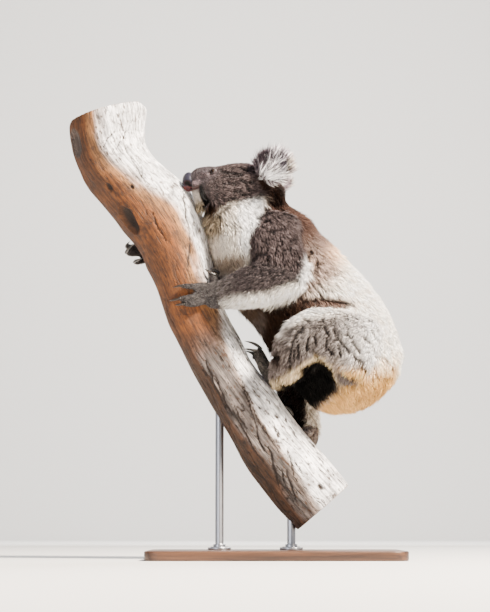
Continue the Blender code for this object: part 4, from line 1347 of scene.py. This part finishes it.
def make_claws():
    horn = claw_horn()
    skin_tree = BVHTree.FromObject(skin, bpy.context.evaluated_depsgraph_get())
    for node in sorted(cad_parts):
        if node.startswith("claw_"):
            make_claw(node, horn, skin_tree)


make_claws()


# ---------------------------------------------------------------- coat
# Dense woolly fur as thousands of small solid tufts, each a tapering three-sided spike that bends over
# along the lie of the coat. Dark at the root and pale at the tip, they part into clumps on the thigh.

TUFT_SEED = 7
TUFT_SUNK = 0.0012            # how far a tuft's root lies under the skin
LOCK_PULL = 0.38              # how far the tips of a lock's tufts are drawn to the tip of its leader
LOCK_STRETCH = 0.42           # how much longer than wide a lock is, along the lie
TUFTS_IN_PIECE = 19500        # keeps each piece under 200,000 triangles
PATCH = 0.003                 # size of a tuft's patch on the coat's colour map
FAR_SIDE = 0.6                # the share of its tufts that a limb of the far side gets
TUFT_CORNERS = 7              # two rings of three and the tip
TRUNK_RADIUS = 0.06           # roughly, to find the tufts that could touch it
NEAR_TRUNK = 0.035
TRUNK_CLEARANCE = 0.0008
MIDDLE_CLEARANCE = 0.0006     # how far off the skin a tuft's middle and its tip stay
TIP_CLEARANCE = 0.0010
FISSURE = 0.0022              # half-width of an opening in the pile
OPEN = 0.45                   # how deep in an opening a tuft is cut short

# Where the pile of the flank is broken up by openings: middle and radii of the place, how far apart they
# are along each axis, and how deep they are.
BROKEN_PILE = [
    ((0.078, 0.120, 0.388), (0.085, 0.060, 0.036), (0.015, 0.060, 0.060), 1.0),
    ((0.015, -0.060, 0.655), (0.040, 0.060, 0.034), (0.034, 0.050, 0.012), 0.7),
    ((-0.075, -0.085, 0.685), (0.045, 0.060, 0.034), (0.011, 0.050, 0.0048), 0.80),
    ((-0.080, -0.075, 0.722), (0.040, 0.060, 0.012), (0.022, 0.050, 0.0045), 0.60),
    ((0.190, -0.085, 0.350), (0.050, 0.080, 0.050), (0.026, 0.050, 0.012), 0.5),
    ((0.000, -0.110, 0.560), (0.060, 0.060, 0.060), (0.014, 0.050, 0.010), 0.60),
    ((0.080, -0.080, 0.520), (0.050, 0.070, 0.050), (0.016, 0.050, 0.010), 0.50),
]

# The single openings that show, as lines seen from the side, X and Z in millimetres: on the left thigh, then
# at the fold between it and the flank and round the shoulder, then behind the eyes and on the cheeks.
# the tufts along these lines are painted darker, as shade in the openings
THIGH_FISSURES = [
    [(46, 419), (38, 412), (30, 399), (28, 388), (24, 366), (27, 349)], [(40, 392), (41, 375), (38, 370)],
    [(33, 383), (32, 370)], [(48, 425), (44, 414)], [(117, 401), (125, 392), (134, 381)],
    [(113, 390), (117, 381), (119, 375)], [(92, 406), (92, 395), (90, 388)], [(95, 386), (104, 375)],
    [(140, 399), (149, 388), (154, 381)], [(154, 368), (161, 362), (158, 351)], [(143, 373), (150, 366)],
    [(160, 410), (173, 399)], [(51, 440), (61, 436)], [(88, 425), (96, 410)], [(70, 410), (73, 392)],
    [(106, 421), (114, 403)], [(-7, 373), (5, 370)], [(59, 406), (55, 384)], [(130, 414), (138, 406)],
    [(66, 381), (77, 371)],
]
FLANK_FISSURES = [
    [(51, 472), (67, 476), (91, 478), (129, 474), (145, 469)], [(67, 508), (86, 486)],
    [(54, 489), (41, 478)], [(79, 510), (97, 491)], [(68, 574), (60, 551)], [(79, 551), (75, 525)],
    [(-33, 633), (-21, 640), (-7, 646)], [(-21, 625), (-10, 629)], [(-18, 654), (-16, 645)],
    [(12, 667), (14, 650)],
]
HEAD_FISSURES = [
    [(-104, 726), (-89, 720), (-72, 719), (-61, 716)], [(-89, 714), (-65, 714)],
    [(-66, 730), (-51, 724), (-48, 728)], [(-65, 706), (-53, 700), (-44, 704)], [(-79, 684), (-65, 687)],
    [(-87, 666), (-84, 672), (-72, 672)], [(-105, 639), (-98, 649), (-85, 660)], [(-63, 679), (-48, 681)],
    [(-44, 668), (-33, 677), (-25, 681)], [(-54, 696), (-48, 689)], [(-123, 666), (-120, 655)],
]
COAT_PIECES = {
    "coat_head": ("fur_head", ["head"]),
    "coat_ears": ("fur_ears", ["ear_left", "ear_right"]),
    "coat_neck_chest": ("fur_chest", ["neck", "chest"]),
    "coat_back": ("fur_back", ["abdomen"]),
    "coat_rump": ("fur_rump", ["rump"]),
    "coat_arm_left": ("fur_arms", ["upper_arm_left", "forearm_left", "hand_left"]),
    "coat_arm_right": ("fur_arms", ["upper_arm_right", "forearm_right", "hand_right"]),
    "coat_leg_left": ("fur_legs", ["thigh_left", "shank_left", "foot_left"]),
    "coat_leg_right": ("fur_legs", ["thigh_right", "shank_right", "foot_right"]),
}

apply_modifier(skin, "TRIANGULATE")
edit_all(skin, bpy.ops.uv.smart_project, angle_limit=math.radians(66), island_margin=0.002)
skin.data.uv_layers[0].name = "OFBake"


def skin_triangles():
    mesh = skin.data
    corners = np.empty(len(mesh.polygons) * 3, np.int32)
    mesh.loops.foreach_get("vertex_index", corners)
    places = np.empty(len(mesh.loops) * 2, np.float32)
    mesh.uv_layers[0].data.foreach_get("uv", places)
    return corners.reshape(-1, 3), places.reshape(-1, 3, 2).astype(float)


triangles, triangle_uvs = skin_triangles()
chance = np.random.default_rng(TUFT_SEED)


def scatter(regions):
    """Random roots on the skin of these regions, as dense as each region's coat asks for."""
    chosen = np.isin(skin_regions[triangles[:, 0]], [REGIONS.index(region) for region in regions])
    faces = np.flatnonzero(chosen)
    a, b, c = (skin_points[triangles[faces, corner]] for corner in range(3))
    area = np.linalg.norm(np.cross(b - a, c - a), axis=1) / 2
    expected = area * skin_traits[triangles[faces, 0], 3] * 1e4
    expected = expected * (FAR_SIDE if regions[0].endswith("_right") else 1.0)
    count = min(int(expected.sum()), TUFTS_IN_PIECE)
    picked = chance.choice(len(faces), count, p=expected / expected.sum())
    shares = chance.random((count, 2))
    folded = shares.sum(axis=1) > 1
    shares[folded] = 1 - shares[folded]
    weights = np.column_stack([1 - shares.sum(axis=1), shares])
    return faces[picked], weights


def sample(values, faces, weights):
    """Values at the skin's vertices, read off at places inside its triangles."""
    return np.einsum("ij,ijk->ik", weights, values[triangles[faces]])


def keep_off_trunk(points, tree):
    """Push points that lie in the trunk out of it."""
    near = np.flatnonzero(np.abs(trunk.measure(points)[2] - TRUNK_RADIUS) < NEAR_TRUNK)
    for index in near:
        place, normal, _, distance = tree.find_nearest(Vector(points[index]))
        inside = (Vector(points[index]) - place).dot(normal) < TRUNK_CLEARANCE
        if inside and distance < 0.03:
            points[index] = place + normal * TRUNK_CLEARANCE
    return points


def keep_out_of_skin(points, tree, clearance):
    """Raise points that lie under the skin, as where it is hollow, to just above it."""
    for index, point in enumerate(points.tolist()):
        place, normal = tree.find_nearest(point, 0.006)[:2]
        if place is not None and (Vector(point) - place).dot(normal) < clearance:
            points[index] = place + normal * clearance
    return points


class Tufts:
    """The tufts of one coat piece, with one row for each tuft in every column."""

    def __init__(self, regions):
        faces, weights = scatter(regions)
        self.root = sample(skin_points, faces, weights)
        self.facing = unit(sample(skin_facing, faces, weights))
        self.colour = sample(skin_colours, faces, weights)
        self.lie = sample(skin_lie, faces, weights)
        traits = sample(skin_traits, faces, weights)
        self.length = traits[:, 0] * 0.001
        self.lift = traits[:, 1]
        self.width = traits[:, 2] * 0.001
        self.density = traits[:, 3]
        self.lock = traits[:, 4] * 0.001
        self.gap = traits[:, 5]
        self.place = np.einsum("ij,ijk->ik", weights, triangle_uvs[faces])
        self.region = np.array(REGIONS)[skin_regions[triangles[faces, 0]]]

    def keep(self, wanted):
        for name, column in vars(self).items():
            setattr(self, name, column[wanted])

    def __len__(self):
        return len(self.root)


def trim_face(tufts):
    """Short on the muzzle, shorter round the eyes, and none on the nose, the lids and the lips."""
    x, y, z = tufts.root.T
    head = tufts.region == "head"
    muzzle = ramp(x, -0.095, -0.150) * head
    tufts.length *= 1 - 0.60 * muzzle
    tufts.width *= 1 - 0.40 * muzzle
    tufts.lift *= 1 - 0.35 * muzzle
    bare = np.zeros(len(tufts), bool)
    for node in EYES:
        distance, _, ahead, opening, _ = round_an_eye(tufts.root, node)
        around = ramp(distance, 0.020, 0.010) * (ahead > 0)
        tufts.length *= 1 - 0.60 * around
        tufts.lift *= 1 - 0.50 * around
        bare |= (opening < 1.30) & (distance < 0.0125)
    low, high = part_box("nose")
    reach = (tufts.root - np.array((low + high) / 2)) / np.array((high - low) / 2)
    bare |= np.linalg.norm(reach, axis=1) < 1.06
    mouth = off_line(tufts.root, MOUTH)
    bare |= head & (mouth < 0.0012) & (np.abs(y - HEAD_MIDLINE) > 0.004)
    tufts.length *= 1 - 0.5 * ramp(mouth, 0.006, 0.001) * head
    # the chin's hair hangs back and down
    chin = head * ramp(x, -0.120, -0.135) * ramp(z, 0.690, 0.682)
    tufts.lie = tufts.lie + chin[:, None] * (np.array([0.2, 0.0, -1.0]) - tufts.lie)
    tufts.keep(~bare)


def fringe_ears(tufts):
    """Long white hair that fans back and up from the front of each ear's open side, to the outline of the
    ear's solid, and dark fuzz along its front edge."""
    for side, name in EARS:
        ear = tufts.region == name
        low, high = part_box(name)
        centre = np.array((low + high) / 2)
        radii = np.array((high - low) / 2)
        open_way = np.array([-math.sin(EAR_TURN), side * math.cos(EAR_TURN), 0.0])
        reach = tufts.root - centre
        outline, flap, ahead_of_flap = on_ear_flap(reach, side)
        # the white lock that springs from the head in front of the flap, below it
        lock = (1 - flap) * ramp(reach[:, 2], -0.030, -0.026) * ramp(ahead_of_flap, -0.018, -0.014)
        lock = lock * ramp(reach[:, 0], -0.040, -0.036) * ramp(reach[:, 2], -0.010, -0.016)
        lock = lock * ramp(reach[:, 0], 0.012, 0.002) * ramp(tufts.facing @ open_way, 0.0, 0.3)
        inside = np.maximum(flap * ramp(tufts.facing @ open_way, -0.60, -0.20), lock)
        # the fan opens from a place low on the front edge
        fan = reach + np.array([0.048, 0.0, 0.036])
        fan[:, 0] = np.maximum(fan[:, 0], 0.50 * fan[:, 2] + 0.004)
        fan[:, 1] = side * 0.006
        fan[:, 2] = np.maximum(fan[:, 2], 0.003)
        fan = unit(fan)
        # behind, the hair spreads outward, back and up from the foot of the flap
        behind = unit(np.maximum(reach - np.array([-0.020, -side * 0.024, -0.028]), (0.004, -1.0, 0.004)))
        direction = unit(fan * inside[:, None] + behind * (1 - inside)[:, None])
        front = ramp(reach[:, 0], -0.008, -0.022) * ramp(reach[:, 2], -0.014, -0.002) * (1 - lock)
        direction = unit(direction + front[:, None] * np.array([-0.9, 0.0, 1.2]))
        # how far it is from the root to the outline, along that direction
        ahead = direction[:, [0, 2]] / radii[[0, 2]]
        here = reach[:, [0, 2]] / radii[[0, 2]]
        a = np.maximum((ahead ** 2).sum(axis=1), 1e-6)
        b = (ahead * here).sum(axis=1)
        c = (here ** 2).sum(axis=1) - 1
        room = (np.sqrt(np.maximum(b * b - a * c, 0)) - b) / a
        length = np.clip(room * 1.02, 0.008, 0.027 - 0.010 * (1 - inside))
        length = np.where(front > 0.5, np.clip(room * 1.1, 0.010, 0.018), length)
        wisp = (chance.random(len(tufts)) < 0.10) * ramp(direction[:, 2], 0.5, 0.9)
        length = length * (1 + 0.75 * wisp)
        # round the foot of the flap the head's own short fur goes on, painted dark as shade outside the flap
        foot = (flap < 0.5) & (lock < 0.5)
        length = np.where(foot, 0.009, length)
        back = ramp(tufts.facing[:, 0], 0.25, 0.65)[:, None]
        over = np.array([1.0, 0.0, -0.05]) * (1 - back) + np.array([0.2, 0.0, -1.0]) * back
        rooted = foot & (outline > 0.5) & (ahead_of_flap > -0.026)
        direction = np.where(foot[:, None], unit(over), direction)
        direction = np.where(rooted[:, None], unit(np.array([0.60, side * 0.75, 0.30])), direction)
        direction = np.where(lock[:, None] > 0.5, unit(np.array([1.0, 0.0, 0.34])), direction)
        tufts.lie = np.where(ear[:, None], direction, tufts.lie)
        tufts.gap = np.where(ear, tufts.gap * (0.25 + 0.75 * inside), tufts.gap)
        tufts.length = np.where(ear, length, tufts.length)
        outward = np.degrees(np.arcsin(np.clip((direction * tufts.facing).sum(axis=1), 0.0, 0.97)))
        tufts.lift = np.where(ear, np.maximum(20 - 7 * inside + 24 * lock, outward * (1 - foot)), tufts.lift)
        tip = reach + direction * length[:, None]
        low_lock = ramp(reach[:, 2], -0.008, -0.018) * inside * ramp(reach[:, 0], 0.010, 0.000)
        low_lock = np.maximum(low_lock, lock)
        rear = ramp(tip[:, 0], 0.030, 0.045)
        strand = chance.random(len(tufts))
        colour = tint(
            tufts.colour,
            ("#777278", ear * inside),
            ("#48414a", ear * inside * (strand < 0.36)),
            ("#d2cfd3", ear * inside * (strand > 0.72)),
            ("#ffffff", ear * low_lock * (strand < 0.85)),
            ("#6a6057", ear * rear * 0.8 * (strand < 0.76)),
            ("#c9bdac", ear * rear * 0.9 * (strand >= 0.76)),
            ("#2b2529", ear * front),
            ("#6c6268", ear * (1 - inside) * (1 - rear)),
            # painted shadow on the short fur round the foot of the ear
            ("#241915", ear * foot * (outline < 0.5)),
            ("#5f5552", ear * foot * (outline >= 0.5)),
        )
        tufts.colour = np.where(ear[:, None], colour, tufts.colour)


def lengthen_fringes(tufts):
    """Longer hair that hangs from the elbow, the forearm, the thigh's lower edge, the rump and the chin."""
    x, _, z = tufts.root.T
    arm = np.isin(tufts.region, ["forearm_left", "forearm_right", "upper_arm_left"])
    elbow = arm * ramp(-tufts.facing[:, 2], 0.1, 0.7) * ramp(x, -0.11, -0.02)
    thigh = np.isin(tufts.region, ["thigh_left", "shank_left"]) * ramp(-tufts.facing[:, 2], 0.1, 0.7)
    rump = (tufts.region == "rump") * ramp(-tufts.facing[:, 2], 0.2, 0.9)
    chin = (tufts.region == "head") * ramp(x, -0.125, -0.140) * ramp(z, 0.686, 0.674)
    mouth = off_line(tufts.root, MOUTH)
    tufts.length *= 1 + 0.45 * elbow + 0.25 * thigh + 0.25 * rump + 1.1 * chin
    throat = np.isin(tufts.region, ["neck", "chest"]) * ramp(x, -0.098, -0.112) * ramp(z, 0.622, 0.632)
    jaw = (tufts.region == "head") * ramp(x, -0.102, -0.112) * ramp(z, 0.672, 0.666) * (mouth > 0.006)
    tufts.length = tufts.length * (1 + 0.45 * throat) + 0.012 * jaw
    tufts.lift = tufts.lift + 26 * throat + (66 - tufts.lift) * jaw * ramp(-tufts.facing[:, 2], 0.0, 0.6)
    forward = np.maximum(throat, jaw)[:, None]
    tufts.lie = tufts.lie * (1 - forward) + np.array([-0.35, 0.0, -0.95]) * forward
    edge = z - np.interp(x, *zip(*THIGH_EDGE))
    short = np.isin(tufts.region, ["thigh_left", "shank_left"])
    short = short * ramp(edge, 0.020, 0.008) * ramp(x, 0.03, 0.05)
    tufts.length *= 1 - 0.45 * short
    right_edge = (tufts.region == "shank_right") * ramp(x, 0.054, 0.066)
    tufts.length *= 1 + 0.35 * right_edge
    hang = np.maximum(elbow, thigh * (1 - short))[:, None] * 0.7
    tufts.lie = tufts.lie * (1 - hang) + np.array([-0.35, 0.0, -0.94]) * hang


def creased(points, region):
    """How deep each point lies in an opening of the pile, from 0 to 1."""
    deepest = np.zeros(len(points))
    for centre, radii, spacing, strength in BROKEN_PILE:
        inside = within(points, centre, radii, 0.45)
        line = ramp(1 - np.abs(noise(points, spacing, 31)), 0.84, 0.97)
        deepest = np.maximum(deepest, line * inside * strength)
    on_left = points[:, 1] < -0.045
    strip = FISSURE * (1 + 0.4 * noise(points, 0.006, 5))
    for lines, here in ((THIGH_FISSURES, on_left & np.isin(region, ["thigh_left", "shank_left", "rump"])),
                        (FLANK_FISSURES, on_left & ~np.isin(region, ["head", "thigh_left"])),
                        (HEAD_FISSURES, np.isin(region, ["head", "neck"]))):
        if here.any():
            for line in lines:
                near = np.exp(-(off_line(points[here], np.array(line) * 0.001) / strip[here]) ** 2)
                deepest[here] = np.maximum(deepest[here], np.clip(near * 1.3, 0, 1))
    return deepest


def along_skin(lie, facing):
    return unit(lie - facing * np.einsum("ij,ij->i", lie, facing)[:, None])


def bend(tufts, length, lift, lie):
    """Middle and tip of each tuft: it rises off the skin and then bends over along the lie."""
    rise = np.sin(lift * 1.35) * tufts.facing + np.cos(lift * 1.35) * lie
    fall = np.sin(lift * 0.55) * tufts.facing + np.cos(lift * 0.55) * lie
    base = tufts.root - tufts.facing * TUFT_SUNK
    middle = base + rise * (length * 0.5)[:, None]
    return base, rise, middle, middle + fall * (length * 0.5)[:, None]


def grow(name, regions, fur, trunk_tree, skin_tree):
    """Grow the tufts of one coat piece."""
    tufts = Tufts(regions)
    trim_face(tufts)
    fringe_ears(tufts)
    lengthen_fringes(tufts)
    count = len(tufts)
    root, facing, lie = tufts.root, tufts.facing, tufts.lie
    sway = np.stack([noise(root, 0.020, seed) for seed in (21, 22, 23)], axis=1)
    head = tufts.region == "head"
    lie = along_skin(lie, facing)
    lie = unit(lie + sway * np.where(head, 0.22, 0.36)[:, None] + chance.normal(0, 0.18, (count, 3)))
    lie = along_skin(lie, facing)
    length = tufts.length * np.clip(chance.normal(1.0, 0.16, count), 0.6, 1.45) * (1 + 0.12 * sway[:, 0])
    lift = np.radians(np.clip(tufts.lift + chance.normal(0, 6, count) + 6 * sway[:, 1], 6, 75))[:, None]
    # where the pile opens, the tufts that would lie over the opening end at its edge
    base, rise, middle, tip = bend(tufts, length, lift, lie)
    cut = np.ones(count)
    for share in (1.0, 0.85, 0.7, 0.55, 0.4):
        place = base + (tip - base) * share
        cut = np.where(creased(place, tufts.region) > OPEN, share, cut)
    length = length * cut
    base, rise, middle, tip = bend(tufts, length, lift, lie)
    # the tips gather into locks, longer than wide
    leads = np.flatnonzero(chance.random(count) < 1e-4 / (tufts.lock ** 2 * tufts.density))
    grain = unit(np.array([LIE[region] for region in REGIONS]))
    grain = grain[[REGIONS.index(region) for region in tufts.region]]
    squeezed = root - grain * (LOCK_STRETCH * np.einsum("ij,ij->i", root, grain))[:, None]
    tree = KDTree(len(leads))
    for index, place in enumerate(squeezed[leads].tolist()):
        tree.insert(place, index)
    tree.balance()
    found = [tree.find(place)[1:] for place in squeezed.tolist()]
    own = np.array([index for index, _ in found])
    edge = ramp(np.array([distance for _, distance in found]) / tufts.lock, 0.30, 0.66)
    pull = LOCK_PULL * np.where(head, 0.6, 1.0)
    apart = np.linalg.norm(root[leads][own] - root, axis=1) / tufts.lock
    reach = (np.minimum(pull, 0.5 * length / 0.011) * ramp(apart, 3.0, 2.0))[:, None]
    tip = tip + (tip[leads][own] - tip) * reach
    pale = ramp(tufts.colour.mean(axis=1), 0.15, 0.70)
    # painted shade, strongest at the edges of the locks
    dark = edge * tufts.gap * (1 - 0.45 * pale)
    crease_tip = creased(tip, tufts.region)
    crease_middle = creased(middle, tufts.region)
    tip = tip - facing * (length * (0.22 * crease_tip + 0.10 * dark))[:, None]
    middle = keep_off_trunk(keep_out_of_skin(middle, skin_tree, MIDDLE_CLEARANCE), trunk_tree)
    tip = keep_off_trunk(keep_out_of_skin(tip, skin_tree, TIP_CLEARANCE), trunk_tree)
    across = unit(np.cross(rise, facing))
    ridge = np.cross(across, rise)
    half = (tufts.width / 2)[:, None]
    ring = [across * half, -across * half, ridge * half * 0.8]
    points = np.empty((count, TUFT_CORNERS, 3))
    for corner, offset in enumerate(ring):
        points[:, corner] = base + offset * 0.8
        points[:, 3 + corner] = middle + offset
    points[:, 6] = tip
    # dark at the root and pale at the tip, painted shade between the locks and in the openings, and no two
    # quite alike
    lock = np.clip(chance.normal(1.0, 1.0, len(leads)), -1.8, 2.2)[own]
    grizzle = 1 + lock * (0.06 + 0.22 * tufts.gap) + chance.normal(0, 1, count) * (0.06 + 0.24 * tufts.gap)
    salt = 1 + (0.12 + 1.2 * tufts.gap) * (chance.random(count) < 0.22)
    shades = np.empty((count, TUFT_CORNERS))
    shades[:, :3] = (0.28 + 0.40 * pale)[:, None]
    shades[:, 3:6] = ((0.80 + 0.16 * pale) * (1 - 0.85 * crease_middle) * (1 - 0.75 * dark))[:, None]
    shades[:, 6] = (1.20 - 0.08 * pale) * salt * (1 - 0.85 * crease_tip) * (1 - 0.55 * dark)
    whole = tufts.colour[:, None, :] * (shades * np.clip(grizzle, 0.35, 2.0)[:, None])[:, :, None]
    whole = np.clip(whole, 0.001, 0.95).reshape(-1, 3)
    knit_coat(name, fur, points, whole, tufts.place)


def knit_coat(name, fur, points, colours, place):
    """One mesh of three-sided tufts: two rings of three corners and a tip each."""
    count = len(points)
    quads = np.array([[0, 1, 4, 3], [1, 2, 5, 4], [2, 0, 3, 5]])
    ends = np.array([[3, 4, 6], [4, 5, 6], [5, 3, 6], [2, 1, 0]])
    start = (np.arange(count) * TUFT_CORNERS)[:, None]
    loops = np.concatenate([start + quads.ravel(), start + ends.ravel()], axis=1)
    sizes = np.tile([4, 4, 4, 3, 3, 3, 3], count)
    mesh = bpy.data.meshes.new(name)
    mesh.vertices.add(count * TUFT_CORNERS)
    mesh.vertices.foreach_set("co", points.astype(np.float32).ravel())
    mesh.loops.add(loops.size)
    mesh.loops.foreach_set("vertex_index", loops.astype(np.int32).ravel())
    mesh.polygons.add(len(sizes))
    mesh.polygons.foreach_set("loop_start", np.concatenate([[0], np.cumsum(sizes)[:-1]]).astype(np.int32))
    mesh.update(calc_edges=True)
    mesh.shade_smooth()
    piece = bpy.data.objects.new(name, mesh)
    bpy.context.scene.collection.objects.link(piece)
    set_coat_colour(piece, colours)
    across_patch = np.array([0.0, 1.0, 0.5, 0.0, 1.0, 0.5, 0.5]) - 0.5
    along_patch = np.array([0.0, 0.0, 0.0, 0.5, 0.5, 0.5, 1.0]) - 0.5
    spread = np.stack([across_patch, along_patch], axis=1) * PATCH
    places = (place[:, None, :] + spread[None]).reshape(-1, 2)
    layer = mesh.uv_layers.new(name="OFBake")
    layer.data.foreach_set("uv", places[loops.ravel()].astype(np.float32).ravel())
    mesh.materials.append(fur)
    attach(piece, "root")


def koala_fur():
    """Woolly fur: matt, in the coat's colour with a fine grain."""
    material, shader, _ = coat_material("woolly_fur", 1400, 1, 0.82, 1.15)
    shader.inputs["Roughness"].default_value = 0.62
    shader.inputs["Specular IOR Level"].default_value = 0.03
    return material


fur = koala_fur()
trunk_tree = BVHTree.FromObject(log, bpy.context.evaluated_depsgraph_get())
skin_tree = BVHTree.FromObject(skin, bpy.context.evaluated_depsgraph_get())
for name, (slot, regions) in COAT_PIECES.items():
    grow(name, regions, fur, trunk_tree, skin_tree)


# ---------------------------------------------------------------- floor, backdrop and lights
# A pale matt studio floor that curves up into the backdrop, a large soft key light high on the right,
# a weak fill from the left and a soft rim light behind.

FLOOR_COLOUR = "#dedcd8"
FLOOR_NEAR = -9.0
FLOOR_FAR = 6.0
FLOOR_HALF_WIDTH = 9.0
BACKDROP_HEIGHT = 8.0
BACKDROP_BEND = 2.0
BEND_STEPS = 16
SKY_COLOUR = "#eef3ff"
SKY_STRENGTH = 0.50
LIT_PLACE = (0.0, 0.0, 0.45)  # what the lights on the model are turned to


def make_floor():
    outline = [(FLOOR_NEAR, 0.0)]
    for step in range(BEND_STEPS + 1):
        turn = math.pi / 2 * step / BEND_STEPS
        outline.append((FLOOR_FAR + BACKDROP_BEND * math.sin(turn), BACKDROP_BEND * (1 - math.cos(turn))))
    outline.append((FLOOR_FAR + BACKDROP_BEND, BACKDROP_HEIGHT))
    points = [(side * FLOOR_HALF_WIDTH, y, z) for y, z in outline for side in (-1, 1)]
    faces = [(row * 2, row * 2 + 1, row * 2 + 3, row * 2 + 2) for row in range(len(outline) - 1)]
    mesh = bpy.data.meshes.new("floor")
    mesh.from_pydata(points, [], faces)
    mesh.shade_smooth()
    floor = bpy.data.objects.new("floor", mesh)
    bpy.context.scene.collection.objects.link(floor)
    material, shader = new_material("matt_studio_paint")
    shader.inputs["Base Color"].default_value = (*linear(FLOOR_COLOUR), 1)
    shader.inputs["Roughness"].default_value = 0.9
    floor.data.materials.append(material)


def make_light(name, place, target, size, power, colour):
    light = add_object(name, bpy.ops.object.light_add, type="AREA", location=place)
    light.data.shape = "DISK"
    light.data.size = size
    light.data.energy = power
    light.data.color = linear(colour)
    aim = Vector(target) - Vector(place)
    light.rotation_euler = aim.to_track_quat("-Z", "Y").to_euler()


def make_lights():
    make_light("key", (2.2, -2.0, 3.2), LIT_PLACE, 0.9, 1300, "#fff1e0")
    make_light("fill", (-2.6, -3.2, 1.4), LIT_PLACE, 2.4, 50, "#eef3ff")
    make_light("rim", (1.2, 2.4, 2.6), LIT_PLACE, 1.4, 120, "#ffffff")
    make_light("backdrop", (0.0, 3.4, 2.6), (0.0, 8.0, 1.6), 3.0, 330, "#ffffff")
    world = bpy.data.worlds.new("studio")
    bpy.context.scene.world = world
    world.use_nodes = True
    background = world.node_tree.nodes["Background"]
    background.inputs["Color"].default_value = (*linear(SKY_COLOUR), 1)
    background.inputs["Strength"].default_value = SKY_STRENGTH


make_floor()
make_lights()
